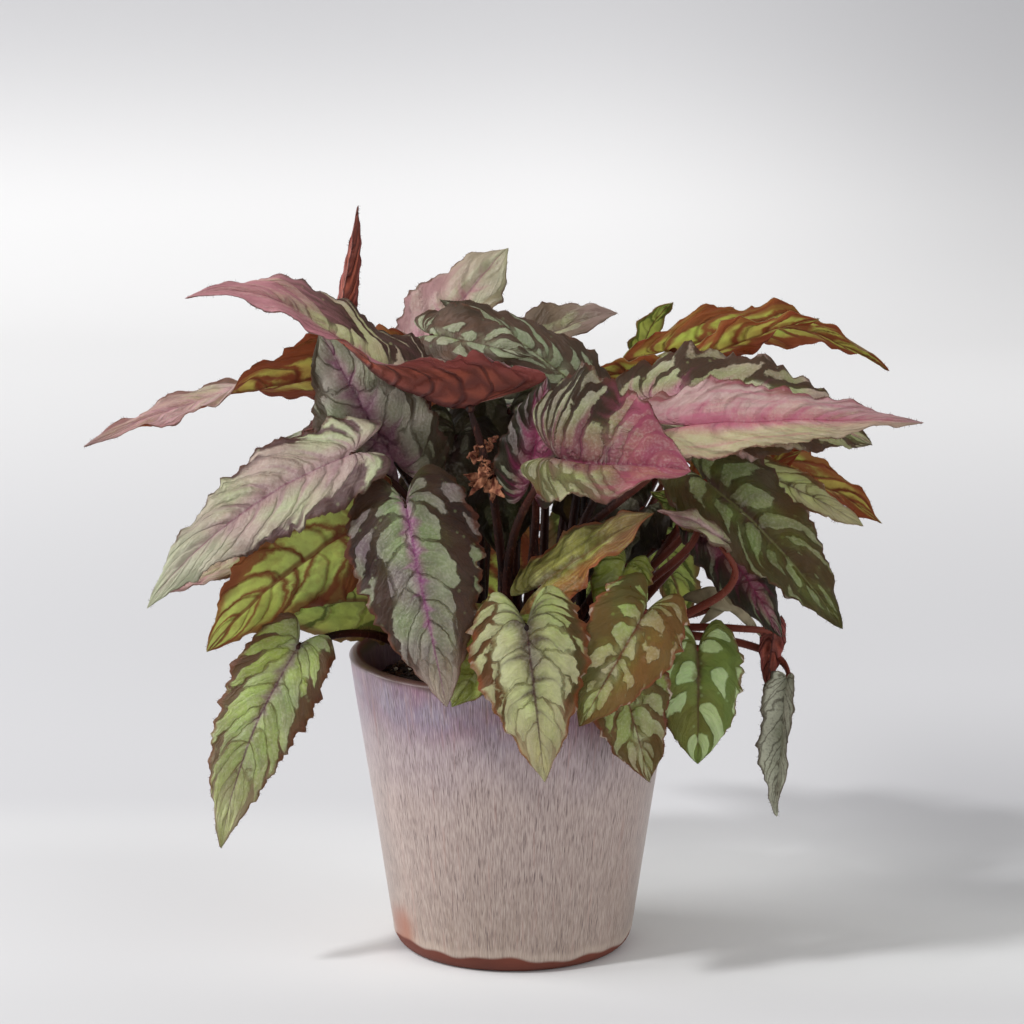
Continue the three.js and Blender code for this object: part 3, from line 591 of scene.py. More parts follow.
random = np.random.default_rng(STALK_HAIR_SEED)
corner = stalk_points[faces]
area = np.linalg.norm(np.cross(corner[:, 1] - corner[:, 0], corner[:, 3] - corner[:, 0]), axis=1)
picked = random.choice(len(faces), STALK_HAIRS, p=area / area.sum())
share = random.random((STALK_HAIRS, 2, 1))
across = corner[picked, 0] * (1 - share[:, 0]) + corner[picked, 1] * share[:, 0]
opposite = corner[picked, 3] * (1 - share[:, 0]) + corner[picked, 2] * share[:, 0]
roots = across * (1 - share[:, 1]) + opposite * share[:, 1]
lean = STALK_HAIR_LEAN * random.normal(size=(STALK_HAIRS, 3))
ways = unit(stalk_normals[faces[picked, 0]] + lean)
lengths = random.uniform(*STALK_HAIR_LENGTHS, STALK_HAIRS)
points, faces = spikes(roots, ways, lengths, STALK_HAIR_WIDTH)
hairs = build("stalk_hairs", points, [(faces, 0)], [hair_finish])
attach(hairs, "root")


# Leaf blades
# Thin, waved and toothed blades with a heart-shaped base, on a midrib from which side veins run to the
# teeth. The upper side is quilted in silver between the veins. The underside lets light through its web.
BLADE_HALF_THICKNESS = 0.25
BLADE_WIDEST_AT = 0.28
TOOTH = 0.06
PUCKER = 0.7
VEIN_SPACING = 13
VEIN_SLANT = 0.3
VEIN_FAN = 2
ROW_SPACING = 1.15
COLUMN_SPACING = 1.9
FRILL_LENGTH = 24
FRILL_HEIGHT = 1.9
FRINGE_LENGTH = 8.3
FRINGE_HEIGHT = 0.6
CRUMPLE_SIZE = 34
CRUMPLE_HEIGHT = 1.3
RIB_HEIGHT = 1.3
RIB_WIDTH = 1.4
SOLID_COLUMNS = 4
HALVES_APART = 10.4
HUB_RADIUS = 2.1
HUB_DEPTH = 1.7
HUB_SMALLER = 0.6
NARROW_BLADE = 20
MARGIN_HAIR_SEED = 100
ROWS_PER_HAIR = 1.3
MARGIN_HAIR_LENGTH = 1.6
MARGIN_HAIR_WIDTH = 0.16
MARGIN_HAIR_LEAN = 0.35

# Each leaf: its midrib from base to tip, its full width, the way its upper side faces, at the tip by end,
# and the finishes of its two sides. The functions below tell how arch, sway, fold, curl, wave, lobe and
# point shape it, and rows counts the solid's own steps along it.
LEAVES = [
    # Upper left
    dict(name="leaf_01", base=(-84, 10, 262), tip=(-70, 22, 340), wide=22, face=(0.3, 0.9, 0.2), fold=55,
         upper="silver", under="brick"),
    dict(name="leaf_02", base=(-19, -60, 264), tip=(-143, -58, 311), wide=62, face=(0.1, 0.3, 0.9),
         end=(-0.1, -0.8, 0.6), arch=(-18, 38), fold=45, fold_end=15, point=2.5, upper="blush_bands",
         under="brick"),
    dict(name="leaf_03", base=(-62, -10, 268), tip=(-192, -25, 238), wide=54, face=(0.1, 0.85, 0.5),
         end=(-0.2, -0.8, 0.6), arch=(16, 14), fold=12, point=2.5, upper="blush", under="sunlit"),
    dict(name="leaf_04", base=(-52, -30, 231), tip=(-86, -10, 288), wide=56, face=(-0.25, -0.9, 0.35),
         arch=(4, 4), fold=10, upper="silver", under="brick"),
    # Left
    dict(name="leaf_05", base=(-71, -52, 240), tip=(-162, -56, 171), wide=52, face=(-0.3, -0.6, 0.75),
         end=(-0.5, -0.8, 0.3), arch=(6, 8), curl=0.15, sway=9, lobe=0.15, point=1.6, upper="faded",
         under="brick"),
    dict(name="leaf_06", base=(-94, -20, 203), tip=(-162, -30, 171), wide=30, face=(-0.3, -0.8, 0.5),
         arch=(4, 4), rows=7, upper="blush", under="sunlit"),
    dict(name="leaf_07", base=(-65, -46, 209), tip=(-137, -44, 148), wide=62, face=(0.1, 0.8, 0.55),
         arch=(12, 12), upper="autumn", under="clear"),
    dict(name="leaf_08", base=(-56, -22, 167), tip=(-124, -12, 155), wide=58, face=(0.1, 0.85, 0.5),
         arch=(6, 6), upper="lime", under="olive"),
    dict(name="leaf_09", base=(-96, -50, 152), tip=(-131, -60, 61), wide=42, face=(-0.15, -0.95, 0.25),
         arch=(4, 6), wave=2.5, sway=6, lobe=0.12, upper="greyed", under="sunlit"),
    # Front
    dict(name="leaf_10", base=(-47, -84, 224), tip=(-29, -96, 136), wide=60, face=(-0.05, -0.95, 0.3),
         arch=(10, 6), fold=-10, curl=0.15, lobe=0.2, upper="mauve", under="sunlit"),
    dict(name="leaf_11", base=(-3, -72, 167), tip=(-27, -84, 133), wide=34, face=(0, -0.95, 0.3), rows=7,
         upper="plain", under="olive"),
    dict(name="leaf_12", base=(6, -96, 172), tip=(14, -100, 103), wide=54, face=(0, -0.95, 0.3),
         arch=(6, 3), fold=-8, point=1.8, upper="lime", under="sunlit"),
    dict(name="leaf_13", base=(58, -84, 176), tip=(29, -96, 127), wide=44, face=(0.1, -0.95, 0.3),
         arch=(4, 3), upper="russet", under="sunlit"),
    dict(name="leaf_14", base=(46, -66, 148), tip=(61, -68, 94), wide=42, face=(0.3, -0.93, 0.2),
         arch=(3, 2), rows=7, upper="brindled", under="sunlit"),
    dict(name="leaf_15", base=(83, -42, 149), tip=(83, -48, 97), wide=40, face=(0.1, -0.97, 0.15),
         arch=(3, 3), point=0.3, upper="spotted", under="olive"),
    dict(name="leaf_16", base=(20, -80, 244), tip=(77, -92, 241), wide=84, face=(0, -0.7, 0.7),
         arch=(-3, 2), fold=35, upper="fan", under="sunlit"),
    dict(name="leaf_17", base=(8, -74, 233), tip=(15, -66, 278), wide=34, face=(-0.25, -0.95, 0.15),
         arch=(3, 3), fold=12, rows=7, upper="crimson", under="brick"),
    dict(name="leaf_18", base=(12, -62, 182), tip=(62, -76, 219), wide=34, face=(-0.1, -0.6, 0.8),
         arch=(3, 4), rows=7, upper="streaked", under="olive"),
    dict(name="leaf_19", base=(50, -66, 193), tip=(39, -72, 167), wide=27, face=(0, -0.95, 0.3), rows=7,
         upper="plain", under="olive"),
    # Right
    dict(name="leaf_20", base=(86, -35, 225), tip=(147, -50, 160), wide=52, face=(0.4, -0.75, 0.5),
         arch=(8, 8), fold=12, upper="dark", under="sunlit"),
    dict(name="leaf_21", base=(88, -12, 198), tip=(121, -16, 148), wide=32, face=(0.3, -0.85, 0.4),
         arch=(4, 4), upper="crimson", under="brick"),
    dict(name="leaf_22", base=(119, -5, 149), tip=(116, -5, 120), wide=12, face=(0, 0.95, 0.1), rows=5,
         upper="silver", under="brick"),
    dict(name="leaf_23", base=(98, -4, 231), tip=(168, 0, 197), wide=46, face=(0.2, 0.6, 0.75),
         arch=(8, 8), upper="autumn", under="sunlit"),
    dict(name="leaf_24", base=(106, -22, 227), tip=(158, -14, 199), wide=20, face=(0.2, -0.8, 0.5),
         arch=(4, 4), rows=7, upper="lime", under="sunlit"),
    dict(name="leaf_25", base=(76, -86, 260), tip=(180, -74, 259), wide=40, face=(0, -0.7, 0.7),
         arch=(6, 4), fold=14, point=2.3, upper="pink", under="sunlit"),
    dict(name="leaf_26", base=(68, -60, 263), tip=(160, -40, 242), wide=62, face=(0.1, -0.65, 0.75),
         arch=(16, 16), upper="petals", under="sunlit"),
    dict(name="leaf_27", base=(73, 30, 272), tip=(172, 24, 263), wide=56, face=(0.1, 0.55, 0.83),
         arch=(22, 22), point=1.6, upper="autumn", under="sunlit"),
    dict(name="leaf_28", base=(83, 8, 271), tip=(139, 10, 290), wide=34, face=(0, 0.6, 0.8),
         arch=(4, 4), fold=8, rows=7, upper="autumn", under="sunlit"),
    dict(name="leaf_29", base=(57, 46, 268), tip=(74, 52, 290), wide=17, face=(-0.4, 0.8, 0.4), rows=5,
         lobe=0.1, upper="lime", under="olive"),
    dict(name="leaf_30", base=(67, 2, 262), tip=(36, 8, 266), wide=28, face=(0, 0.8, 0.6), rows=7,
         upper="autumn", under="sunlit"),
    # Top
    dict(name="leaf_31", base=(-40, 8, 272), tip=(-2, 24, 320), wide=48, face=(-0.3, -0.75, 0.6),
         arch=(6, 6), point=0.6, upper="dawn", under="brick"),
    dict(name="leaf_32", base=(3, 30, 271), tip=(48, 30, 289), wide=32, face=(0, -0.6, 0.8),
         arch=(6, 6), fold=18, rows=7, upper="dusky", under="brick"),
    dict(name="leaf_33", base=(38, -22, 256), tip=(-33, -14, 303), wide=38, face=(0.25, -0.65, 0.7),
         arch=(10, 8), upper="dappled", under="brick"),
    dict(name="leaf_34", base=(-36, -32, 290), tip=(8, -50, 284), wide=34, face=(0, -0.75, 0.65), rows=7,
         upper="dappled", under="brick"),
    # Middle, between the stalks
    dict(name="leaf_35", base=(84, -40, 209), tip=(61, -46, 222), wide=18, face=(0, 0.9, 0.3), rows=6,
         upper="dark", under="olive"),
    dict(name="leaf_36", base=(91, -64, 205), tip=(63, -72, 219), wide=13, face=(0, -0.6, 0.8), rows=6,
         upper="blush", under="brick"),
    dict(name="leaf_37", base=(85, 0, 208), tip=(130, 4, 230), wide=42, face=(0.1, 0.8, 0.5), rows=7,
         upper="autumn", under="sunlit"),
    dict(name="leaf_38", base=(58, -18, 208), tip=(22, -22, 176), wide=36, face=(-0.1, -0.9, 0.4), rows=7,
         upper="painted_shading", under="painted_shading_under"),
    dict(name="leaf_39", base=(-26, 4, 236), tip=(-40, 0, 186), wide=48, face=(0.1, -0.95, 0.2), rows=7,
         upper="painted_shading", under="painted_shading_under"),
    dict(name="leaf_40", base=(125, -12, 128), tip=(121, -12, 62), wide=22, face=(-0.5, -0.8, 0.1), fold=40,
         wave=3, point=0.4, lobe=0.04, upper="withered", under="withered"),
    dict(name="leaf_53", base=(-2, 24, 244), tip=(-6, 26, 176), wide=58, face=(0.1, -0.95, 0.3), rows=7,
         upper="painted_shading", under="painted_shading_under"),
    dict(name="leaf_54", base=(36, 18, 240), tip=(42, 22, 170), wide=56, face=(0, 0.95, 0.2), rows=7,
         upper="painted_shading", under="painted_shading_under"),
    # Back
    dict(name="leaf_41", base=(-40, 42, 238), tip=(-112, 84, 212), wide=56, face=(-0.3, 0.3, 0.9),
         arch=(8, 10), rows=7, upper="silver", under="brick"),
    dict(name="leaf_42", base=(-18, 62, 232), tip=(-52, 134, 188), wide=60, face=(-0.1, 0.6, 0.8),
         arch=(10, 12), rows=7, upper="fan", under="sunlit"),
    dict(name="leaf_43", base=(16, 62, 240), tip=(24, 142, 202), wide=60, face=(0, 0.6, 0.8),
         arch=(10, 12), rows=7, upper="silver", under="brick"),
    dict(name="leaf_44", base=(46, 50, 238), tip=(104, 108, 200), wide=56, face=(0.3, 0.5, 0.8),
         arch=(8, 12), rows=7, upper="lime", under="sunlit"),
    dict(name="leaf_45", base=(70, 35, 210), tip=(126, 62, 178), wide=44, face=(0.5, 0.6, 0.6),
         arch=(6, 8), rows=7, upper="spotted", under="olive"),
    dict(name="leaf_46", base=(-52, 52, 198), tip=(-92, 108, 150), wide=52, face=(-0.5, 0.6, 0.6),
         arch=(6, 8), rows=7, upper="lime", under="sunlit"),
    dict(name="leaf_47", base=(-12, 84, 176), tip=(-22, 104, 100), wide=54, face=(0, 0.95, 0.3),
         arch=(6, 4), rows=7, upper="mauve", under="sunlit"),
    dict(name="leaf_48", base=(38, 82, 172), tip=(50, 110, 98), wide=50, face=(0.2, 0.9, 0.3),
         arch=(6, 4), rows=7, upper="dark", under="olive"),
    dict(name="leaf_49", base=(64, 62, 186), tip=(82, 98, 128), wide=42, face=(0.5, 0.75, 0.4),
         arch=(4, 4), rows=7, upper="spotted", under="olive"),
    dict(name="leaf_50", base=(-48, 74, 172), tip=(-64, 102, 112), wide=42, face=(-0.4, 0.85, 0.3),
         arch=(4, 4), rows=7, upper="blush", under="brick"),
    dict(name="leaf_51", base=(8, 34, 258), tip=(6, 96, 268), wide=50, face=(0, 0.1, 1),
         arch=(8, 8), rows=7, upper="silver", under="brick"),
    dict(name="leaf_52", base=(-26, 30, 252), tip=(-86, 66, 258), wide=46, face=(-0.2, 0.2, 0.95),
         arch=(8, 8), rows=7, upper="lime", under="sunlit"),
]


def blade_profile(s, point, rounding):
    """The half width at s, from 0 at the stalk to 1 at the tip, as a share of its widest. It widens by a
    parabola up to the widest place and then falls as 1 - q^fullness times a straight taper. A point of 0
    keeps the tip blunt, and past 2 the sides run hollow into a long one. A rounding of 1 fills out the
    lobes."""
    rising = 1 - (0.42 - 0.14 * rounding) * (1 - s / BLADE_WIDEST_AT) ** 2
    q = np.clip((s - BLADE_WIDEST_AT) / (1 - BLADE_WIDEST_AT), 0, 1)
    falling = (1 - q ** (2.3 - 0.4 * point)) * (1 - 0.16 * point * q)
    return np.where(s < BLADE_WIDEST_AT, rising, falling)


def blade_surface(leaf, s, t, tooth=0.0, extra_rise=0.0, rounding=0.0):
    """The blade's middle surface, for s along the midrib and t from -1 to 1 across it, with its normals.

    The midrib is a cubic curve from base to tip that its arch lifts and its sway bends. The lobes reach back
    past the stalk by a share of its length, furthest at four fifths of the way out. Across, both halves rise
    by the fold, curl down by the square of t, and ripple more towards the margin. A rounding of 1 turns the
    lobes' outer corners in and closes the notch between them."""
    base, tip = np.array(leaf["base"], float), np.array(leaf["tip"], float)
    chord = tip - base
    along = unit(chord)
    face = unit(np.array(leaf["face"], float))
    end = unit(np.array(leaf.get("end", leaf["face"]), float))
    up = unit(face - (face @ along) * along)
    bend = np.cross(along, up) * leaf.get("sway", 0)
    near, far = leaf.get("arch", (3, 3))
    handles = [base, base + chord / 3 + near * up + bend, base + chord * 2 / 3 + far * up + bend, tip]

    lobe = leaf.get("lobe", 0.26)
    out = np.abs(t)
    corner = rounding * 0.25 * lobe * (np.clip(out - 0.6, 0, 1) / 0.4) ** 2
    reach = s - lobe * (1 - s) ** 2 * np.sin(1.95 * out) + corner * (1 - s) ** 6
    at = np.clip(reach, 0, 1)[..., None]
    shares = [(1 - at) ** 3, 3 * (1 - at) ** 2 * at, 3 * (1 - at) * at**2, at**3]
    centre = sum(share * handle for share, handle in zip(shares, handles))
    slopes = [3 * (1 - at) ** 2, 6 * (1 - at) * at, 3 * at**2]
    steps = [handles[k + 1] - handles[k] for k in range(3)]
    tangent = unit(sum(slope * step for slope, step in zip(slopes, steps)))
    centre = centre + np.minimum(reach, 0)[..., None] * tangent * np.linalg.norm(chord)

    look = face * (1 - at) + end * at
    normal = unit(look - np.sum(look * tangent, -1, keepdims=True) * tangent)
    side = np.cross(tangent, normal)
    fold_near = leaf.get("fold", 6)
    fold = np.radians(fold_near + (leaf.get("fold_end", fold_near) - fold_near) * at[..., 0])
    width = leaf["wide"] / 2 * blade_profile(s, leaf.get("point", 1), rounding) * (1 + tooth)
    swell = leaf.get("wave", 1.6) * out**1.5 * np.sqrt(4 * s * (1 - s))
    ripple = swell * np.sin(math.tau * 2.5 * s + np.where(t < 0, 1.7, 0) + leaf["tip"][2])
    rise = width * (out * np.sin(fold) - leaf.get("curl", 0.06) * t * t) + ripple + extra_rise
    drawn_in = t * (1 - 0.45 * rounding * (1 - out) * (1 - s) ** 4)
    point = centre + side * (drawn_in * width * np.cos(fold))[..., None] + normal * rise[..., None]
    return point, normal, width


def place_in_frame(leaf):
    """How far the solid leaf was eased in depth and height, to be clear of its neighbours: the middle of its
    box less the middle of the box of the same surface at the solid's own coarse steps."""
    rows, columns = leaf.get("rows", 9), SOLID_COLUMNS
    i, j = np.meshgrid(np.arange(rows + 1), np.arange(columns + 1), indexing="ij")
    edge = (j == 0) | (j == columns)
    tooth = np.where(edge, np.where(i % 2 == 1, TOOTH, -TOOTH), 0)
    point, _, _ = blade_surface(leaf, i / rows, 2 * j / columns - 1, tooth)
    low, high = (np.array(corner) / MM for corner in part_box(leaf["name"]))
    middle = (point.min((0, 1)) + point.max((0, 1))) / 2
    return ((low + high) / 2 - middle) * (0, 1, 1)


def vein_phase(s, t, count):
    """Where a point lies between side veins: a whole number on a vein, counted from the back of the lobe.
    Ahead of a slanted line through the base they leave the midrib, and behind it they fan out from the
    stalk."""
    slant = VEIN_SLANT * np.abs(t) ** 1.2
    fan = VEIN_FAN * s / np.maximum(slant, 1e-6)
    return np.where(s >= slant, VEIN_FAN + (s - slant) * count, fan)


def fraction(x):
    """What is left of a number past its whole part."""
    return x - np.floor(x)


def shell_faces(rows, columns):
    """Faces of a thin closed body with the same grid on both sides: the upper side, the lower one, whose
    points are numbered on from those of the upper one, and the rim that joins them."""
    quads = grid_faces(rows, columns)
    size = (rows + 1) * (columns + 1)
    number = np.arange(size).reshape(rows + 1, columns + 1)
    ring = np.concatenate([number[0, :-1], number[:-1, -1], number[-1, :0:-1], number[:0:-1, 0]])
    following = np.roll(ring, -1)
    rim = np.stack([following, ring, ring + size, following + size], 1)
    return [quads, quads[:, ::-1] + size, rim]


def fine_blade(leaf, seed):
    """Points, faces and UV maps of a leaf blade as a closed thin body, with its middle surface and normals.

    Each side vein ends in a large tooth, with small ones between. The upper side bulges between the veins,
    the edge is frilled, and the midrib stands out below. Map blade holds s and t, and map veins the phase
    and the distance from the midrib in steps of the vein spacing, moved aside on one half."""
    length = np.linalg.norm(np.subtract(leaf["tip"], leaf["base"]))
    rows = int(np.clip(length / ROW_SPACING, 24, 120))
    columns = 2 * int(np.clip(leaf["wide"] / COLUMN_SPACING / 2, 5, 20))
    count = max(3, round(length / VEIN_SPACING))
    u = np.linspace(-1, 1, columns + 1)
    s, t = np.meshgrid(np.linspace(0, 1, rows + 1), 0.6 * u + 0.4 * u**3, indexing="ij")
    phase = vein_phase(s, t, count)
    edge_phase = vein_phase(s, np.sign(t), count) + np.where(t < 0, 0.37, 0)
    saw = 0.09 * fraction(edge_phase) ** 1.5 + 0.05 * fraction(3.3 * edge_phase) ** 1.3 - 0.06
    notches = 0.035 * np.sin(math.tau * 1.7 * edge_phase + seed)
    tooth = (saw + notches) * np.abs(t) ** 4
    quilt = 1 - np.abs(2 * fraction(phase) - 1) ** 3
    fade = np.clip(np.abs(t) / 0.15, 0, 1) * (1 - np.abs(t) ** 6) * np.clip(6 * (1 - s), 0, 1)
    out = np.where(t < 0, 2.0, 0) + seed
    tipward = np.clip(5 * (1 - s), 0, 1)
    frill = np.abs(t) ** 2.5 * np.sin(math.tau * s * length / FRILL_LENGTH + out) * leaf["wide"] / 50
    fringe = np.abs(t) ** 5 * np.sin(math.tau * s * length / FRINGE_LENGTH + 2 * out)
    crumple = lumps(s * length, t * leaf["wide"] / 2, CRUMPLE_SIZE, seed)
    ruffle = tipward * (FRILL_HEIGHT * frill + FRINGE_HEIGHT * fringe + CRUMPLE_HEIGHT * crumple)
    middle, normal, width = blade_surface(leaf, s, t, tooth, PUCKER * quilt * fade + ruffle, 1.0)
    middle = middle + place_in_frame(leaf)

    slope_s = np.gradient(middle, axis=0)
    slope_t = np.gradient(middle, axis=1)
    found = unit(np.cross(slope_t, slope_s))
    found = np.where(np.sum(found * normal, -1, keepdims=True) < 0, -found, found)
    thick = BLADE_HALF_THICKNESS * (1 - 0.6 * np.abs(t) ** 8)
    rib = RIB_HEIGHT * (1 - 0.8 * s) * np.exp(-((t * width / RIB_WIDTH) ** 2))
    top = middle + found * (thick - 0.35 * rib)[..., None]
    bottom = middle - found * (thick + rib)[..., None]

    faces = shell_faces(rows, columns)
    size = (rows + 1) * (columns + 1)
    flat = np.stack([s, t], -1).reshape(-1, 2)
    veins = np.stack([phase + 20 * seed, np.abs(t) * width / VEIN_SPACING], -1).reshape(-1, 2)
    left = np.tile(np.arange(columns) < columns / 2, rows)
    aside = np.where(left, HALVES_APART, 0)[:, None, None] * np.array([1.0, 0.0])
    maps = {
        "blade": [flat[corners % size] for corners in faces],
        "veins": [veins[corners % size] + shift for corners, shift in zip(faces, (aside, aside, 0))],
    }
    points = np.concatenate([top.reshape(-1, 3), bottom.reshape(-1, 3)])
    return points, faces, maps, middle, found


def edge_hairs(middle, normal, seed):
    """Roots, ways and lengths of the hairs at random places along both margins of a blade. They point
    outwards, away from the midrib, and lean a little at random."""
    random = np.random.default_rng(seed)
    roots, ways = [], []
    for column, inner in ((0, 2), (-1, -3)):
        line = middle[:, column]
        out = unit(line - middle[:, inner])
        pick = np.sort(random.uniform(0, len(line) - 1.001, int(len(line) / ROWS_PER_HAIR)))
        low = pick.astype(int)
        share = (pick - low)[:, None]
        roots.append(line[low] * (1 - share) + line[low + 1] * share)
        lean = random.normal(size=(len(pick), 3)) * MARGIN_HAIR_LEAN
        ways.append(unit(out[low] + lean + 0.2 * normal[low, column]))
    roots, ways = np.concatenate(roots), np.concatenate(ways)
    return roots, ways, random.uniform(0.5, 1.0, len(roots)) * MARGIN_HAIR_LENGTH


def leaf_signs(put, cells, wander, bend):
    """What every leaf finish reads: where a point is on the blade and between the veins, and the cell it is
    in.

    The cells are a Voronoi pattern on the veins map, cells[0] of them between two veins and cells[1] of them
    in the same length outwards. One noise of 12 mm bends veins and cells alike, and one of 4 mm frays the
    cells' borders. The others are clouds 21 mm across, drifts 38 mm and washes 6 mm across, flecks 6 mm
    apart, and a grain of 1 mm. Pleats follow the side veins outwards, seven between two of them, and streaks
    follow the midrib, eight on each half."""
    blade = put("UVMap", out="UV", uv_map="blade")
    veins = put("UVMap", out="UV", uv_map="veins")
    place = put("TexCoord", out="Object")
    bends = put("TexNoise", {"Vector": place, "Scale": 85.0, "Detail": 2.0}, out="Color")
    bends = put("VectorMath", (bends, (0.5, 0.5, 0.5)), operation="SUBTRACT")
    bent = put("VectorMath", {0: bends, "Scale": bend}, operation="SCALE")
    bent = put("VectorMath", (veins, bent), operation="ADD")
    frays = put("TexNoise", {"Vector": place, "Scale": 230.0, "Detail": 4.0, "Roughness": 0.6}, out="Color")
    frays = put("VectorMath", (frays, (0.5, 0.5, 0.5)), operation="SUBTRACT")
    frays = put("VectorMath", {0: frays, "Scale": wander}, operation="SCALE")
    astray = put("VectorMath", (bent, (cells[0], cells[1], 1.0)), operation="MULTIPLY")
    astray = put("VectorMath", (astray, frays), operation="ADD")
    cell = {"Vector": astray, "Scale": 1.0, "Randomness": 0.9}
    seed_point = put("TexVoronoi", cell, out="Position", voronoi_dimensions="2D")
    chances = put("TexVoronoi", cell, out="Color", voronoi_dimensions="2D")
    from_seed = put("VectorMath", (astray, seed_point), operation="SUBTRACT")
    pleated = put("VectorMath", (bent, (7.0, 0.9, 1.0)), operation="MULTIPLY")
    streaky = put("VectorMath", (blade, (2.2, 8.0, 1.0)), operation="MULTIPLY")
    streaky = put("VectorMath", (streaky, bends), operation="ADD")
    return {
        "along": put("SeparateXYZ", (blade,)),
        "side": put("SeparateXYZ", (blade,), out="Y"),
        "across": put("Math", (put("SeparateXYZ", (blade,), out="Y"),), operation="ABSOLUTE"),
        "border": put(
            "TexVoronoi", cell, out="Distance", feature="DISTANCE_TO_EDGE", voronoi_dimensions="2D"
        ),
        "reach": put("TexVoronoi", cell, out="Distance", voronoi_dimensions="2D"),
        "chance": put("SeparateXYZ", (chances,)),
        "chance_b": put("SeparateXYZ", (chances,), out="Y"),
        "outward": put("SeparateXYZ", (from_seed,), out="Y"),
        "vein": put("Math", (put("SeparateXYZ", (bent,)), 0.5), operation="PINGPONG"),
        "clouds": put("TexNoise", {"Vector": place, "Scale": 48.0, "Detail": 3.0}),
        "drift": put("TexNoise", {"Vector": place, "Scale": 26.0, "Detail": 2.0, "Distortion": 0.4}),
        "wash": put("TexNoise", {"Vector": place, "Scale": 170.0, "Detail": 5.0, "Roughness": 0.6}),
        "pleats": put("TexNoise", {"Vector": pleated, "Scale": 1.0, "Detail": 4.0, "Roughness": 0.6}),
        "streaks": put("TexNoise", {"Vector": streaky, "Scale": 1.0, "Detail": 5.0, "Roughness": 0.6}),
        "grain": put("TexNoise", {"Vector": place, "Scale": 900.0, "Detail": 3.0}),
        "fleck": put("TexVoronoi", {"Vector": place, "Scale": 170.0}, out="Distance"),
    }


def thin_blade(put, tone, height, roughness, depth, glow, green):
    """A thin blade: satin skin over a body that passes the share glow of the light to the other side. That
    light takes the skin's tone and, by the share green, the pale green of the tissue."""
    bump = put("Bump", {"Height": height, "Distance": depth, "Strength": 0.8})
    skin = {"Base Color": tone, "Roughness": roughness, "Normal": bump, "Specular IOR Level": 0.27}
    tissue = put("MixRGB", (green, tone, "#e4eac0"))
    through = put("BsdfTranslucent", {"Color": tissue, "Normal": bump})
    return put("MixShader", (glow, put("BsdfPrincipled", skin), through))


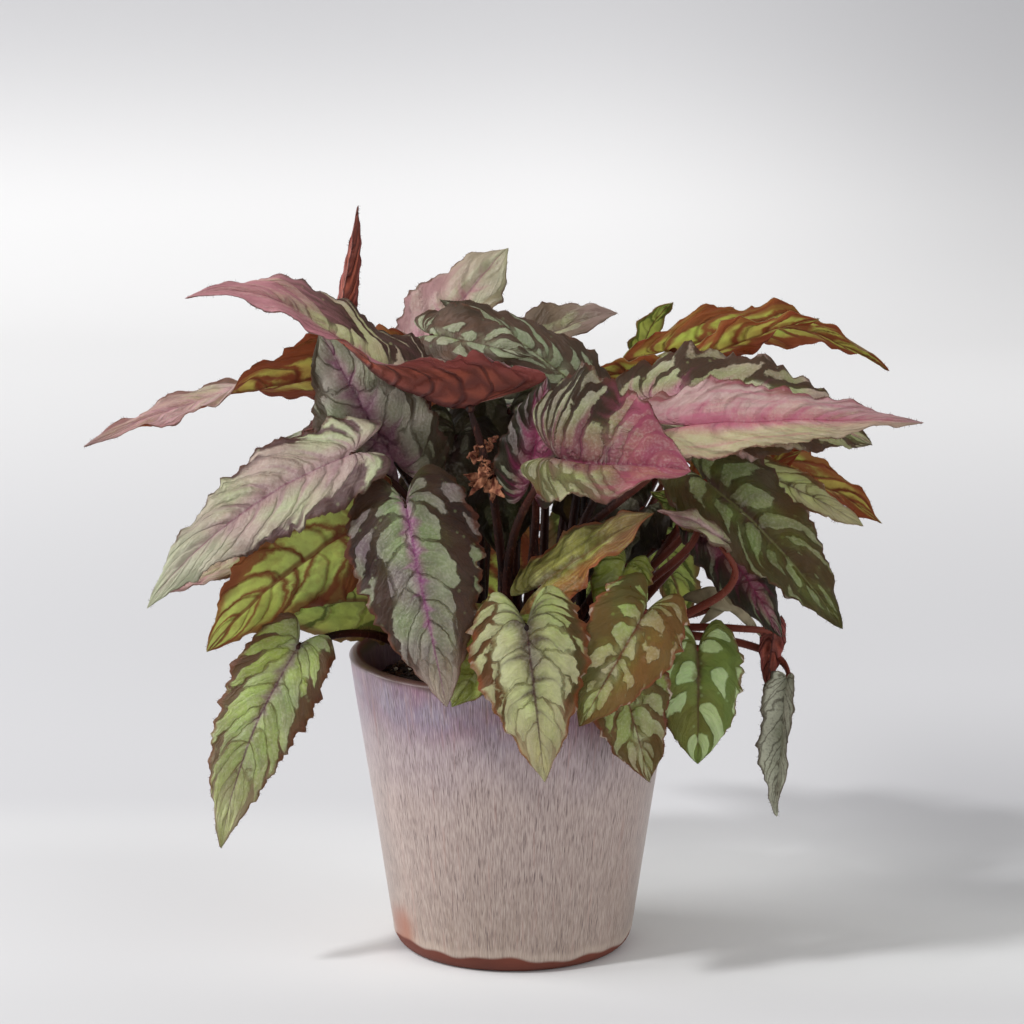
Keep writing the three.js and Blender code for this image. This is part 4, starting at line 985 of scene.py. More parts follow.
def upper_side(
    ground, mottle, patch, patch_b, heart, heart_patch, vein, margin, tip="#c9a3a0", flank="#b9c48c",
    cells=(1.6, 0.95), gaps=(0.03, 0.2), zone=(0.35, 0.85), rounded=0.5, missing=0.4, soft=0.05,
    cloudy=0.7, lengthwise=0.0, dark_core=0.0, wander=0.3, bend=0.7, drifting=0.0, painted_shading=0.25,
    hearted=0.2, starred=0.3, tipped=0.0, tip_from=0.7, flanked=0.0, streaked=0.0, veined=0.12, groove=0.75,
    specked=0.0, washed=0.26, pleated=0.18, rim_width=0.05, glow=0.36,
):
    """The upper side of a rex begonia leaf, from its colours: patches with air blisters under the skin,
    which look silver, over a ground that is clouded with the mottle colour and flecked with silver.

    Each cell between the veins holds one patch, drawn back from the cell's border by a gap, and rounded off
    at the distance rounded from its middle. Gaps widen from gaps[0] to gaps[1], and patches become rounder,
    through the zone from the midrib to the margin. It is shifted by the shares cloudy in clouds, lengthwise
    along the leaf and dark_core by the midrib. A share missing of the patches is lost at its far end. Their
    edges are blurred by soft and frayed by wander, and bend sways the veins. Painted shade darkens the near
    end of each patch and a painted highlight lights its far end, by the share painted_shading, as if they
    lapped over each other. Their colour goes from patch to patch_b in drifts, more along the leaf by
    drifting.

    The heart colours reach out along the veins by hearted and along the leaf by starred. The tip colour
    covers the share tipped past tip_from, and the flank colour one half, that of positive t for a positive
    share flanked. The other shares: streaked, streaks of heart_patch and patch_b; veined, the veins; groove,
    the ground in narrow gaps; specked, pale points on the teeth; washed and pleated, the ground in blots and
    pleats over the patches; rim_width, the coloured edge; glow, the light let through."""

    def surface(put):
        signs = leaf_signs(put, cells, wander, bend)
        across, clouds, along = signs["across"], signs["clouds"], signs["along"]

        # Where the patches are
        shifted = put("Math", (clouds, cloudy, across), operation="MULTIPLY_ADD")
        shifted = put("Math", (along, lengthwise, shifted), operation="MULTIPLY_ADD")
        by_midrib = put("MapRange", (across, 0.08, 0.34, dark_core, 0.0), **SMOOTH)
        shifted = put("Math", (shifted, by_midrib), operation="ADD")
        middle = (cloudy + lengthwise) / 2
        outer = put("MapRange", (shifted, zone[0] + middle, zone[1] + middle, 0.0, 1.0), **SMOOTH)
        gap = put("MapRange", (outer, 0.0, 1.0, gaps[0], gaps[1]))
        lost = put("Math", (signs["chance_b"], missing), operation="LESS_THAN")
        dropped = put("Math", (lost, put("MapRange", (outer, 0.3, 0.8, 0.0, 0.5))), operation="MULTIPLY")
        gap = put("Math", (gap, dropped), operation="ADD")
        past = put("Math", (signs["border"], gap), operation="SUBTRACT")
        limit = put("MapRange", (outer, 0.0, 0.7, 1.0, rounded))
        within = put("Math", (limit, signs["reach"]), operation="SUBTRACT")
        past = put("Math", (past, within, 0.08), operation="SMOOTH_MIN")
        silver = put("MapRange", (past, 0.0, soft, 0.0, 1.0), **SMOOTH)

        # The ground between them, and how near the heart is
        near = put("Math", (along, starred, across), operation="MULTIPLY_ADD")
        by_vein = put("MapRange", (signs["vein"], 0.0, 0.18, hearted * 0.6, 0.0), **SMOOTH)
        near = put("Math", (near, by_vein), operation="SUBTRACT")
        ragged = put("Math", (clouds, 0.35, near), operation="MULTIPLY_ADD")
        ragged = put("Math", (signs["wash"], 0.2, ragged), operation="MULTIPLY_ADD")
        core = put("MapRange", (ragged, 0.27 + hearted * 0.35, 0.3 + hearted * 1.5, 1.0, 0.0), **SMOOTH)
        between = put("MixRGB", (put("MapRange", (clouds, 0.4, 0.6, 0.0, 1.0)), ground, mottle))
        between = put("MixRGB", (core, between, heart))
        fleck = put("MapRange", (signs["fleck"], 0.16, 0.1, 0.0, 0.35))
        between = put("MixRGB", (fleck, between, patch))

        # The patches' own tones, and the ground that shows through them
        slow = put("MapRange", (signs["drift"], 0.38, 0.62, -0.1, 0.85))
        slow = put("Math", (signs["chance"], 0.3, slow), operation="MULTIPLY_ADD")
        slow = put("Math", (along, drifting, slow), operation="MULTIPLY_ADD", use_clamp=True)
        light = put("MixRGB", (slow, patch, patch_b))
        light = put("MixRGB", (put("Math", (core, 0.85), operation="MULTIPLY"), light, heart_patch))
        # Painted shade on the near end of each patch and a painted highlight on its far end, as if they
        # lapped
        painted_lap_shade = put("MapRange", (signs["outward"], -0.1, -0.6, 0.0, painted_shading), **SMOOTH)
        light = put("MixRGB", (painted_lap_shade, light, between))
        painted_lap_highlight = put("MapRange", (signs["outward"], 0.0, 0.5, 0.0, 0.8 * painted_shading), **SMOOTH)
        light = put("MixRGB", (painted_lap_highlight, light, "#e4e6cf"))
        wash = put("MapRange", (signs["wash"], 0.45, 0.7, 0.0, washed))
        light = put("MixRGB", (wash, light, between))
        pleat = put("MapRange", (signs["pleats"], 0.45, 0.7, 0.0, pleated))
        light = put("MixRGB", (pleat, light, between))
        uneven = put("MapRange", (signs["wash"], 0.35, 0.6, 0.3 * groove, groove))
        depth = put("MapRange", (outer, 0.0, 0.4, uneven, 1.0))
        gaps_only = put("MixRGB", (depth, light, between))
        tone = put("MixRGB", (silver, gaps_only, light))

        # The two halves, the tip and the streaks
        half = signs["side"] if flanked > 0 else put("Math", (signs["side"], -1.0), operation="MULTIPLY")
        half = put("Math", (signs["streaks"], 0.5, half), operation="MULTIPLY_ADD")
        flank_share = put("MapRange", (half, 0.35, 0.75, 0.0, abs(flanked)), **SMOOTH)
        tone = put("MixRGB", (flank_share, tone, flank))
        toward = put("Math", (signs["streaks"], 0.4, along), operation="MULTIPLY_ADD")
        tip_share = put("MapRange", (toward, tip_from, tip_from + 0.3, 0.0, tipped), **SMOOTH)
        tone = put("MixRGB", (tip_share, tone, tip))
        streak = put("MapRange", (signs["streaks"], 0.46, 0.66, 0.0, streaked))
        tone = put("MixRGB", (streak, tone, heart_patch))
        pale_streak = put("MapRange", (signs["streaks"], 0.46, 0.3, 0.0, streaked))
        tone = put("MixRGB", (pale_streak, tone, patch_b))

        # Veins, margin, teeth and pores
        fading = put("MapRange", (across, 0.1, 0.85, 1.0, 0.25))
        wide = put("MapRange", (signs["vein"], 0.005, 0.045, 1.0, 0.0), **SMOOTH)
        line = put("Math", (wide, fading), operation="MULTIPLY")
        line = put("Math", (line, veined), operation="MULTIPLY")
        tone = put("MixRGB", (line, tone, vein))
        tone = put("MixRGB", (put("MapRange", (across, 0.008, 0.04, 0.75, 0.0), **SMOOTH), tone, vein))
        frayed = put("Math", (signs["wash"], 0.25, across), operation="MULTIPLY_ADD")
        start, end = 1.125 - 1.4 * rim_width, 1.125 - 0.2 * rim_width
        rim = put("MapRange", (frayed, start, end, 0.0, 0.85), **SMOOTH)
        tone = put("MixRGB", (rim, tone, margin))
        tooth = put("MapRange", (signs["vein"], 0.03, 0.06, specked, 0.0), **SMOOTH)
        edge = put("MapRange", (across, 0.93, 0.96, 0.0, 1.0), **SMOOTH)
        tone = put("MixRGB", (put("Math", (tooth, edge), operation="MULTIPLY"), tone, "#e6dac6"))
        pores = put("MapRange", (signs["grain"], 0.45, 0.66, 0.0, 0.2))
        tone = put("MixRGB", (put("Math", (pores, silver), operation="MULTIPLY"), tone, "#e9e4d6"))

        # Relief: domed cells, raised patches and pleats, flat at the tip, and fine washes all over
        dome = put("MapRange", (signs["border"], 0.0, 0.35, 0.0, 1.0), **SMOOTH)
        relief = put("Math", (dome, 0.9, silver), operation="MULTIPLY_ADD")
        relief = put("Math", (signs["pleats"], 8 * pleated, relief), operation="MULTIPLY_ADD")
        before_tip = put("Math", (1.0, tip_share), operation="SUBTRACT")
        relief = put("Math", (relief, before_tip), operation="MULTIPLY")
        relief = put("Math", (signs["wash"], 1.3, relief), operation="MULTIPLY_ADD")
        return thin_blade(put, tone, relief, 0.42, 0.0009, glow, 0.7)

    return surface


def under_side(
    cell, cell_b, web, vein, margin, cells=(1.0, 1.0), gaps=(0.02, 0.12), zone=(0.55, 1.0), missing=0.2,
    soft=0.16, cloudy=0.6, bend=0.35, stalked=0.0, lined=0.65, vein_width=0.06, clouded=0.3, edged=0.95,
    glow=0.55,
):
    """The underside, from its colours: a web of raised veins with light cells between them, which are the
    patches of the upper side seen through the blade. The cells follow the same rule as there. The vein
    colour covers the share stalked near the stalk and lined on the veins, up to vein_width from them. The
    web's colour covers the share clouded in clouds. The margin begins at edged."""

    def surface(put):
        signs = leaf_signs(put, cells, 0.3, bend)
        across, clouds = signs["across"], signs["clouds"]

        # Where the cells are
        shifted = put("Math", (clouds, cloudy, across), operation="MULTIPLY_ADD")
        outer = put("MapRange", (shifted, zone[0] + cloudy / 2, zone[1] + cloudy / 2, 0.0, 1.0), **SMOOTH)
        gap = put("MapRange", (outer, 0.0, 1.0, gaps[0], gaps[1]))
        lost = put("Math", (signs["chance_b"], missing), operation="LESS_THAN")
        dropped = put("Math", (lost, put("Math", (outer, 0.4), operation="MULTIPLY")), operation="MULTIPLY")
        gap = put("Math", (gap, dropped), operation="ADD")
        past = put("Math", (signs["border"], gap), operation="SUBTRACT")
        lit = put("MapRange", (past, 0.0, soft, 0.0, 1.0), **SMOOTH)

        # The cells' tones, and the web between them
        slow = put("MapRange", (signs["drift"], 0.4, 0.6, 0.0, 1.0))
        light = put("MixRGB", (slow, cell, cell_b))
        cloud = put("MapRange", (clouds, 0.5, 0.72, 0.0, clouded), **SMOOTH)
        light = put("MixRGB", (cloud, light, web))
        wash = put("MapRange", (signs["wash"], 0.45, 0.7, 0.0, 0.35))
        light = put("MixRGB", (wash, light, web))
        tone = put("MixRGB", (lit, web, light))

        # Stalk end, veins, midrib and margin
        close = put("Math", (clouds, 0.5, signs["along"]), operation="MULTIPLY_ADD")
        tone = put("MixRGB", (put("MapRange", (close, 0.3, 0.7, stalked, 0.0), **SMOOTH), tone, vein))
        fading = put("MapRange", (signs["wash"], 0.35, 0.65, 0.5, 1.0))
        line = put("MapRange", (signs["vein"], 0.008, vein_width, lined, 0.0), **SMOOTH)
        tone = put("MixRGB", (put("Math", (line, fading), operation="MULTIPLY"), tone, vein))
        tone = put("MixRGB", (put("MapRange", (across, 0.02, 0.07, 0.8, 0.0), **SMOOTH), tone, vein))
        frayed = put("Math", (clouds, 0.5, across), operation="MULTIPLY_ADD")
        edge = put("MapRange", (frayed, edged, edged + 0.25, 0.0, 0.85), **SMOOTH)
        tone = put("MixRGB", (edge, tone, margin))

        # Relief: raised veins and borders
        ridge = put("MapRange", (signs["vein"], 0.0, 0.12, 1.4, 0.0), **SMOOTH)
        hollow = put("MapRange", (signs["border"], 0.0, 0.25, 0.7, 0.0), **SMOOTH)
        relief = put("Math", (ridge, hollow), operation="ADD")
        relief = put("Math", (signs["wash"], 1.0, relief), operation="MULTIPLY_ADD")
        return thin_blade(put, tone, relief, 0.5, 0.0009, glow, 0.1)

    return surface


def dry_side(put):
    """A dead leaf: grey-green skin with dark creases, matt."""
    signs = leaf_signs(put, (1.5, 1.0), 0.6, 0.9)
    tone = put("MixRGB", (put("MapRange", (signs["clouds"], 0.35, 0.65, 0.0, 1.0)), "#a3a68c", "#cccdb8"))
    crease = put("MapRange", (signs["border"], 0.0, 0.12, 0.7, 0.0), **SMOOTH)
    tone = put("MixRGB", (crease, tone, "#4f4638"))
    tone = put("MixRGB", (put("MapRange", (signs["grain"], 0.5, 0.7, 0.0, 0.4)), tone, "#6b6650"))
    edge = put("MapRange", (signs["across"], 0.8, 0.97, 0.0, 0.7), **SMOOTH)
    tone = put("MixRGB", (edge, tone, "#5a463a"))
    return thin_blade(put, tone, signs["grain"], 0.8, 0.001, 0.1, 0.0)


FINISHES = {
    # Silver-green patches on brown-black, mauve along the midrib
    "silver": upper_side(
        ground="#403629", mottle="#4a4434", patch="#95a47c", patch_b="#948880", heart="#521f3c",
        heart_patch="#9a5c7e", vein="#6b2f50", margin="#523229", cells=(1.15, 0.7), gaps=(0.015, 0.15),
        zone=(0.5, 1.05), rounded=0.52, missing=0.3, hearted=0.36,
    ),
    # Bright rounded green patches on brown-grey
    "dappled": upper_side(
        ground="#4c3f33", mottle="#664f42", patch="#9aac84", patch_b="#aaab8e", heart="#4f4036",
        heart_patch="#9fb174", vein="#5a4638", margin="#6b4a3c", cells=(1.35, 1.0), gaps=(0.08, 0.2),
        zone=(0.0, 0.9), rounded=0.37, missing=0.3, wander=0.25, bend=0.5, hearted=0.12, groove=0.95,
    ),
    # Smooth pale green, pink towards the stalk and on one half, with a few brown mottles at the margin
    "dawn": upper_side(
        ground="#7d6c54", mottle="#8a7a60", patch="#bcc79c", patch_b="#cdb6ae", heart="#b07a84",
        heart_patch="#cf8c9c", vein="#a06c78", margin="#6b4a3c", tip="#acb28c", flank="#cf9aa6",
        cells=(0.9, 0.6), gaps=(0.0, 0.1), zone=(0.5, 1.0), missing=0.35, soft=0.22, bend=0.4, painted_shading=0.2,
        hearted=0.45, starred=0.6, tipped=0.6, flanked=-0.6, streaked=0.1, veined=0.08, groove=0.3,
        pleated=0.12,
    ),
    # Smooth pale leaves with soft pink clouds, and hardly any dark between the patches
    "blush": upper_side(
        ground="#7a6052", mottle="#86705c", patch="#c3cf92", patch_b="#cfa9b0", heart="#a06f7c",
        heart_patch="#cf98a6", vein="#9a6674", margin="#6b4038", tip="#c6949c", cells=(1.0, 0.6),
        gaps=(0.0, 0.07), zone=(0.55, 1.05), missing=0.35, soft=0.2, painted_shading=0.4, hearted=0.35, tipped=0.7,
        streaked=0.2, veined=0.08, groove=0.25,
    ),
    # Brown-grey with a few pale spots, fading to pinkish grey at the tip
    "dusky": upper_side(
        ground="#94806e", mottle="#8a7864", patch="#c2ca93", patch_b="#b5a494", heart="#8f7a6b",
        heart_patch="#a89884", vein="#6b5648", margin="#6b4038", tip="#a58c86", cells=(1.2, 0.8),
        gaps=(0.05, 0.14), zone=(0.1, 0.8), rounded=0.42, soft=0.1, tipped=0.8, groove=0.7,
    ),
    # Pale grey-green with streaks of mauve along the leaf, and dark maroon towards the stalk
    "faded": upper_side(
        ground="#54403f", mottle="#5a4444", patch="#bac698", patch_b="#c0ab9f", heart="#5a2c40",
        heart_patch="#ae8a8e", vein="#8a5468", margin="#5a3a32", tip="#b9c2a4", cells=(1.2, 0.5),
        gaps=(0.0, 0.12), zone=(0.75, 1.2), missing=0.3, soft=0.16, cloudy=0.9, lengthwise=-0.7, bend=0.4,
        painted_shading=0.0, hearted=0.4, tipped=0.6, streaked=0.25, veined=0.05, groove=0.15, washed=0.3,
        pleated=0.12,
    ),
    # A pink leaf whose one half is dark brown with a row of pale patches
    "blush_bands": upper_side(
        ground="#3a2822", mottle="#4a342c", patch="#cdd493", patch_b="#d0b9a4", heart="#a85c6c",
        heart_patch="#cf8c98", vein="#8a4456", margin="#4f2c28", tip="#cf9099", flank="#c07c88",
        cells=(1.9, 0.5), gaps=(0.06, 0.15), zone=(0.15, 0.6), rounded=0.55, missing=0.25, cloudy=0.3,
        bend=0.4, hearted=0.15, tipped=0.9, flanked=-1.0, streaked=0.12, groove=0.8,
    ),
    # Crowded grey-green and mauve patches towards the tip, and few on brown-black near the stalk
    "mauve": upper_side(
        ground="#241b19", mottle="#40322a", patch="#8c9f70", patch_b="#86747c", heart="#5a2a48",
        heart_patch="#b06a9c", vein="#8a4076", margin="#6b3a2c", tip="#c4ab9e", cells=(1.1, 0.8),
        gaps=(0.015, 0.16), zone=(0.38, 0.95), rounded=0.47, missing=0.3, lengthwise=-0.6, drifting=-0.4,
        hearted=0.16, tipped=0.6, tip_from=0.85, rim_width=0.06,
    ),
    # Large lapping petals of grey-green and dusty pink on dark brown, pink at the stalk
    "petals": upper_side(
        ground="#3a3026", mottle="#463a2e", patch="#a4b078", patch_b="#bd9c98", heart="#8a4660",
        heart_patch="#cc7f9c", vein="#8a4058", margin="#4f332a", cells=(0.9, 0.6), gaps=(0.02, 0.08),
        zone=(0.25, 0.75), rounded=0.52, missing=0.2, bend=0.5, painted_shading=0.4, hearted=0.42, starred=0.5,
    ),
    # Smooth pink with long deeper streaks along the midrib, and one half pale lime
    "pink": upper_side(
        ground="#8a5058", mottle="#96605e", patch="#dab2b8", patch_b="#ddbdb8", heart="#b04a6a",
        heart_patch="#cc6e8c", vein="#b04a68", margin="#7a4640", tip="#bf929a", flank="#c9c896",
        cells=(1.0, 0.35), gaps=(0.0, 0.03), zone=(0.7, 1.2), missing=0.1, soft=0.3, bend=0.3, painted_shading=0.15,
        hearted=0.4, tipped=0.5, flanked=0.85, streaked=0.5, veined=0.05, groove=0.12, pleated=0.12,
        rim_width=0.03,
    ),
    # Long fingers on near-black, mauve near the stalk and green further out, with a pink heart and tip
    "fan": upper_side(
        ground="#26231b", mottle="#2b241c", patch="#8a6d84", patch_b="#a9b878", heart="#6b2848",
        heart_patch="#8f3f62", vein="#8a2c50", margin="#5c3430", tip="#a8506c", flank="#9da672",
        cells=(2.3, 0.4), gaps=(0.05, 0.14), zone=(0.2, 0.9), rounded=0.62, missing=0.1, lengthwise=-0.4,
        wander=0.45, bend=0.3, drifting=0.8, painted_shading=0.4, hearted=0.4, starred=0.1, tipped=0.9,
        tip_from=0.55, flanked=0.4, veined=0.05, groove=0.8,
    ),
    # Nearly black green with a feathered crimson midrib
    "crimson": upper_side(
        ground="#2a2b1f", mottle="#2c2c20", patch="#7f9666", patch_b="#8f8482", heart="#6b1c40",
        heart_patch="#a83c70", vein="#a02860", margin="#4a2c26", cells=(1.7, 0.75), gaps=(0.05, 0.2),
        zone=(0.2, 0.7), rounded=0.4, missing=0.5, hearted=0.55, veined=0.3,
    ),
    # Crowded light green patches, a dark purple star at the stalk and a cream tip
    "lime": upper_side(
        ground="#4a4a24", mottle="#6b4a2c", patch="#c8de84", patch_b="#e0e6ac", heart="#3f1f2c",
        heart_patch="#3f2433", vein="#4a2434", margin="#94502f", tip="#cdc79c", cells=(1.4, 0.8),
        gaps=(0.012, 0.1), zone=(0.5, 1.0), missing=0.3, bend=0.55, hearted=0.36, starred=0.8, tipped=0.7,
        veined=0.35, groove=0.7, specked=0.5, rim_width=0.1, glow=0.5,
    ),
    # Grey-green near the stalk and light green towards the tip, with a broad dark margin
    "greyed": upper_side(
        ground="#4f4630", mottle="#5c4634", patch="#8f9f75", patch_b="#a9c462", heart="#462038",
        heart_patch="#8f8078", vein="#5f2c50", margin="#6b4230", tip="#b9b490", cells=(1.15, 0.65),
        gaps=(0.012, 0.17), zone=(0.5, 0.95), rounded=0.55, missing=0.3, drifting=0.7, hearted=0.16,
        tipped=0.5, washed=0.3, rim_width=0.09,
    ),
    # Olive going to orange-brown on one half, with light green patches
    "russet": upper_side(
        ground="#5f6030", mottle="#6f5a2c", patch="#a3bf64", patch_b="#c0b884", heart="#5f3a22",
        heart_patch="#7a7444", vein="#7a4428", margin="#9a5236", flank="#96602f", cells=(1.5, 0.9),
        gaps=(0.07, 0.2), zone=(0.0, 0.7), rounded=0.38, missing=0.3, hearted=0.14, flanked=-0.4,
        groove=0.95, specked=0.6, rim_width=0.07,
    ),
    # Olive-brown with rounded patches of light green and creamy grey, and pale teeth
    "brindled": upper_side(
        ground="#5c5428", mottle="#6b4f2c", patch="#a0b864", patch_b="#bdb692", heart="#5f3a22",
        heart_patch="#84804c", vein="#6b3a28", margin="#7a3a2c", cells=(1.5, 0.9), gaps=(0.05, 0.16),
        zone=(0.1, 0.85), rounded=0.42, missing=0.3, hearted=0.12, streaked=0.1, groove=0.95, specked=0.7,
        rim_width=0.08,
    ),
    # Olive-green with rows of rounded mint spots
    "spotted": upper_side(
        ground="#71853f", mottle="#6f6f33", patch="#c0de9c", patch_b="#cbe2a0", heart="#54462a",
        heart_patch="#6f743b", vein="#5c3f2b", margin="#75482e", cells=(1.15, 0.95), gaps=(0.08, 0.1),
        zone=(-0.4, 0.2), rounded=0.43, missing=0.08, cloudy=0.1, wander=0.15, bend=0.3, painted_shading=0.05,
        hearted=0.14, groove=1.0, specked=0.6, washed=0.1,
    ),
    # Dark olive-green with yellow-green veins, and pale patches halfway out
    "dark": upper_side(
        ground="#39401a", mottle="#453a20", patch="#7a9058", patch_b="#8f9c6c", heart="#43282c",
        heart_patch="#6f6a58", vein="#7d8450", margin="#4f2a22", cells=(1.2, 0.6), gaps=(0.09, 0.22),
        zone=(0.1, 0.8), rounded=0.4, missing=0.45, dark_core=0.35, bend=0.5, hearted=0.14, streaked=0.08,
        veined=0.2, groove=1.0, specked=0.3, washed=0.35,
    ),
    # Leaves deep in the plant, nearly black: painted shade
    "painted_shading": upper_side(
        ground="#1c1510", mottle="#291c14", patch="#4a542c", patch_b="#43382a", heart="#2c1416",
        heart_patch="#3c2628", vein="#241410", margin="#3c221a", cells=(1.3, 0.8), gaps=(0.1, 0.26),
        zone=(0.2, 0.8), missing=0.6, dark_core=0.4,
    ),
    # Young leaves, nearly one green
    "plain": upper_side(
        ground="#5c702c", mottle="#7a7834", patch="#86a03b", patch_b="#a3ae4d", heart="#6b7038",
        heart_patch="#8c943f", vein="#6b7436", margin="#8a5234", gaps=(0.0, 0.02), zone=(0.8, 1.1),
        missing=0.0, soft=0.2, painted_shading=0.3, hearted=0.1, streaked=0.3, groove=0.3,
    ),
    # Old thin leaves, light green going to orange, that the lamp shines through
    "autumn": upper_side(
        ground="#b3a070", mottle="#a8ac70", patch="#c9d49a", patch_b="#d2cc9c", heart="#a06a50",
        heart_patch="#bfa080", vein="#8a3a2e", margin="#9a4a36", tip="#c08a6c", gaps=(0.0, 0.08),
        zone=(0.4, 1.0), tipped=0.5, rim_width=0.1, glow=0.75,
    ),
    # A rolled young leaf: dark olive with yellow-green streaks, and an orange-red edge
    "streaked": upper_side(
        ground="#453e1e", mottle="#5f5028", patch="#98a03c", patch_b="#dcd876", heart="#5f4020",
        heart_patch="#6b5a2a", vein="#8a6438", margin="#b0583a", tip="#c98a78", flank="#bf6640",
        cells=(1.2, 0.4), gaps=(0.01, 0.08), zone=(0.5, 1.0), missing=0.2, soft=0.15, bend=0.4, tipped=0.5,
        flanked=0.75, streaked=0.75, groove=0.5, rim_width=0.1,
    ),
    # Brick red, darker by the stalk, with dark veins
    "brick": under_side(
        cell="#b05a44", cell_b="#985044", web="#74382d", vein="#47201e", margin="#8a4440", cells=(1.3, 1.1),
        gaps=(0.0, 0.02), soft=0.4, bend=0.5, stalked=0.5, lined=0.95, vein_width=0.1, clouded=0.4,
        edged=0.85, glow=0.1,
    ),
    # Yellow-green cells glowing in a red-brown web: light let through, and a bright tone of painted
    # backlight
    "sunlit": under_side(
        cell="#dbe87c", cell_b="#e2d074", web="#a04c34", vein="#7c2a20", margin="#a8442f", cells=(1.0, 0.5),
        gaps=(0.03, 0.13), zone=(0.35, 0.9), missing=0.25, soft=0.2, lined=0.85, vein_width=0.1, edged=0.72,
        glow=0.7,
    ),
    # Light green cells in a thin red-brown web
    "clear": under_side(
        cell="#d6e68c", cell_b="#cbd97c", web="#8f5236", vein="#7c2e24", margin="#8f3f2e", cells=(0.8, 0.5),
        gaps=(0.0, 0.08), zone=(0.5, 1.0), soft=0.14, lined=0.7, vein_width=0.09, edged=0.85, glow=0.7,
    ),
    # Soft green with darker blotches
    "olive": under_side(
        cell="#c0d478", cell_b="#c9cf72", web="#66702f", vein="#7a4634", margin="#8f6244",
        cells=(0.8, 0.55), gaps=(0.0, 0.12), zone=(0.3, 1.0), soft=0.08, bend=0.6, lined=0.45, glow=0.6,
    ),
    # Their undersides, nearly as dark: painted shade
    "painted_shading_under": under_side(
        cell="#5c5a2c", cell_b="#6b4f28", web="#2e1a12", vein="#241410", margin="#3c221a", glow=0.3,
    ),
    # The dead leaf, alike on both sides
    "withered": dry_side,
}
leaf_finishes = {name: finish_of(f"leaf_{name}", surface) for name, surface in FINISHES.items()}

# A knob at the end of the stalk joins each blade, a smaller one on the narrow blades
ball_profile = np.stack([np.sin(arc(0, 180, 9)), -np.cos(arc(0, 180, 9))], 1)
ball_points, ball_walls, ball_ends = revolve(ball_profile, 12)

for seed, leaf in enumerate(LEAVES):
    points, faces, maps, middle, normal = fine_blade(leaf, seed)
    rows = [(faces[0], 0), (faces[1], 1), (faces[2], 0)]
    midrib = middle.shape[1] // 2
    centre = middle[0, midrib] - HUB_DEPTH * normal[0, midrib]
    hub = ball_points * HUB_RADIUS * (HUB_SMALLER if leaf["wide"] < NARROW_BLADE else 1) + centre
    hair_points, hair_faces = spikes(*edge_hairs(middle, normal, MARGIN_HAIR_SEED + seed), MARGIN_HAIR_WIDTH)
    first_hub, first_hair = len(points), len(points) + len(hub)
    rows += [(ball_walls + first_hub, 2), (ball_ends + first_hub, 2), (hair_faces + first_hair, 3)]
    for corners in maps.values():
        corners += [np.zeros(r.shape + (2,)) for r, _ in rows[3:]]
    finishes = [leaf_finishes[leaf["upper"]], leaf_finishes[leaf["under"]], stalk_finish, hair_finish]
    blade = build("fine_" + leaf["name"], np.concatenate([points, hub, hair_points]), rows, finishes, maps)
    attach(blade, "root")
    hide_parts(leaf["name"])


# Dried spray
# Four olive-brown leaflets of a dead shoot that hang from one thin stem at the right. They dried to thin
# shells that follow the solid's leaflets, without teeth or quilting.
SPRAY_JOINT = (97, -8, 163)
SPRAY = [
    dict(base=SPRAY_JOINT, tip=(76, -8, 164), wide=12, face=(0, -0.7, 0.7), wave=0.5),
    dict(base=SPRAY_JOINT, tip=(106, -6, 170), wide=7, face=(0, -0.9, 0.3), wave=0.5),
    dict(base=SPRAY_JOINT, tip=(84, -12, 152), wide=6, face=(0.3, -0.8, 0.4), wave=0.5),
    dict(base=SPRAY_JOINT, tip=(113, -8, 146), wide=6, face=(0.4, -0.8, 0.3), wave=0.5),
]
LEAFLET_GRID = (20, 8)
LEAFLET_HALF_THICKNESS = 0.3


def dried_leaflet(leaf):
    """A leaflet as a closed thin body: the blade's surface moved out on both sides by half the thickness."""
    rows, columns = LEAFLET_GRID
    s, t = np.meshgrid(np.linspace(0, 1, rows + 1), np.linspace(-1, 1, columns + 1), indexing="ij")
    middle, normal, _ = blade_surface(leaf, s, t)
    sides = [middle + LEAFLET_HALF_THICKNESS * normal, middle - LEAFLET_HALF_THICKNESS * normal]
    points = np.concatenate([side.reshape(-1, 3) for side in sides])
    return points, np.concatenate(shell_faces(rows, columns))


def joined(bodies):
    """Points and faces of several bodies as one mesh: each one's faces are numbered on from the last."""
    firsts = np.cumsum([0] + [len(points) for points, _ in bodies])
    faces = [faces + first for (_, faces), first in zip(bodies, firsts)]
    return np.concatenate([points for points, _ in bodies]), np.concatenate(faces)


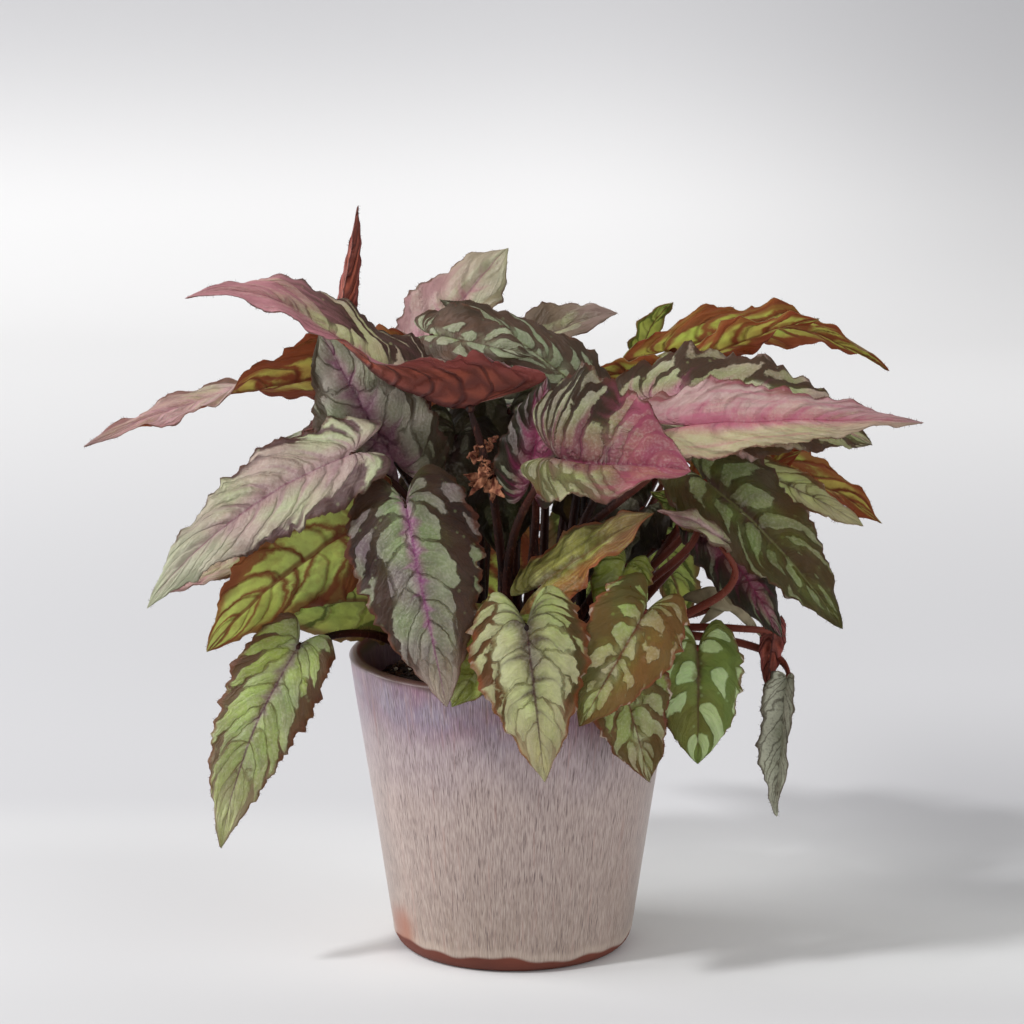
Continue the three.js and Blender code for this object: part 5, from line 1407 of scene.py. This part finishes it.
def dried_skin(put):
    """Dry leaf skin: olive-brown, matt, with a paler bloom in clouds of 8 mm."""
    place = put("TexCoord", out="Object")
    clouds = put("TexNoise", {"Vector": place, "Scale": 120.0, "Detail": 3.0})
    tone = put("MixRGB", (put("MapRange", (clouds, 0.35, 0.65, 0.0, 1.0)), "#6b6149", "#a0967a"))
    return put("BsdfPrincipled", {"Base Color": tone, "Roughness": 0.75})


points, faces = joined([dried_leaflet(leaf) for leaf in SPRAY])
spray = build("dried_leaflets", points, [(faces, 0)], [finish_of("dried_skin", dried_skin)])
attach(spray, "root")
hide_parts("dried_spray")


# Stipules
# A rust-brown tuft of dry, curled scraps on one stalk in the middle of the plant. They wrapped young leaves,
# and hang on at the joint where those came out.
STIPULE_SPOT = (-14, -60, 243)
STIPULE_REACH = 15
STIPULE_COUNT = 16
STIPULE_SEED = 31
STIPULE_LENGTHS = (7, 15)
STIPULE_WIDTHS = (3.5, 7)
STIPULE_BOW = 4
STIPULE_LEAN = (0.6, 0.6, 0.8)
STIPULE_SUNK = 0.6


def papery_brown(put):
    """Dry stipule: thin, matt, rust-brown skin, darker in blotches of 3 mm."""
    place = put("TexCoord", out="Object")
    clouds = put("TexNoise", {"Vector": place, "Scale": 300.0, "Detail": 4.0})
    tone = put("MixRGB", (put("MapRange", (clouds, 0.38, 0.62, 0.0, 1.0)), "#5a2c20", "#b07a5c"))
    return put("BsdfPrincipled", {"Base Color": tone, "Roughness": 0.85, "Specular IOR Level": 0.2})


random = np.random.default_rng(STIPULE_SEED)
near = np.linalg.norm(stalk_points - STIPULE_SPOT, axis=1) < STIPULE_REACH
scraps = []
for pick in random.choice(np.flatnonzero(near), STIPULE_COUNT, replace=False):
    root = stalk_points[pick] - STIPULE_SUNK * stalk_normals[pick]
    way = unit(stalk_normals[pick] + random.normal(size=3) * STIPULE_LEAN)
    tip = root + way * random.uniform(*STIPULE_LENGTHS)
    wide = random.uniform(*STIPULE_WIDTHS)
    bow = random.uniform(-STIPULE_BOW, STIPULE_BOW)
    face = random.normal(size=3)
    scraps.append(dried_leaflet(dict(base=root, tip=tip, wide=wide, face=face, arch=(bow, -bow))))
points, faces = joined(scraps)
papery = finish_of("papery_brown_stipule", papery_brown)
stipules = build("dry_stipules", points, [(faces, 0)], [papery])
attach(stipules, "root")
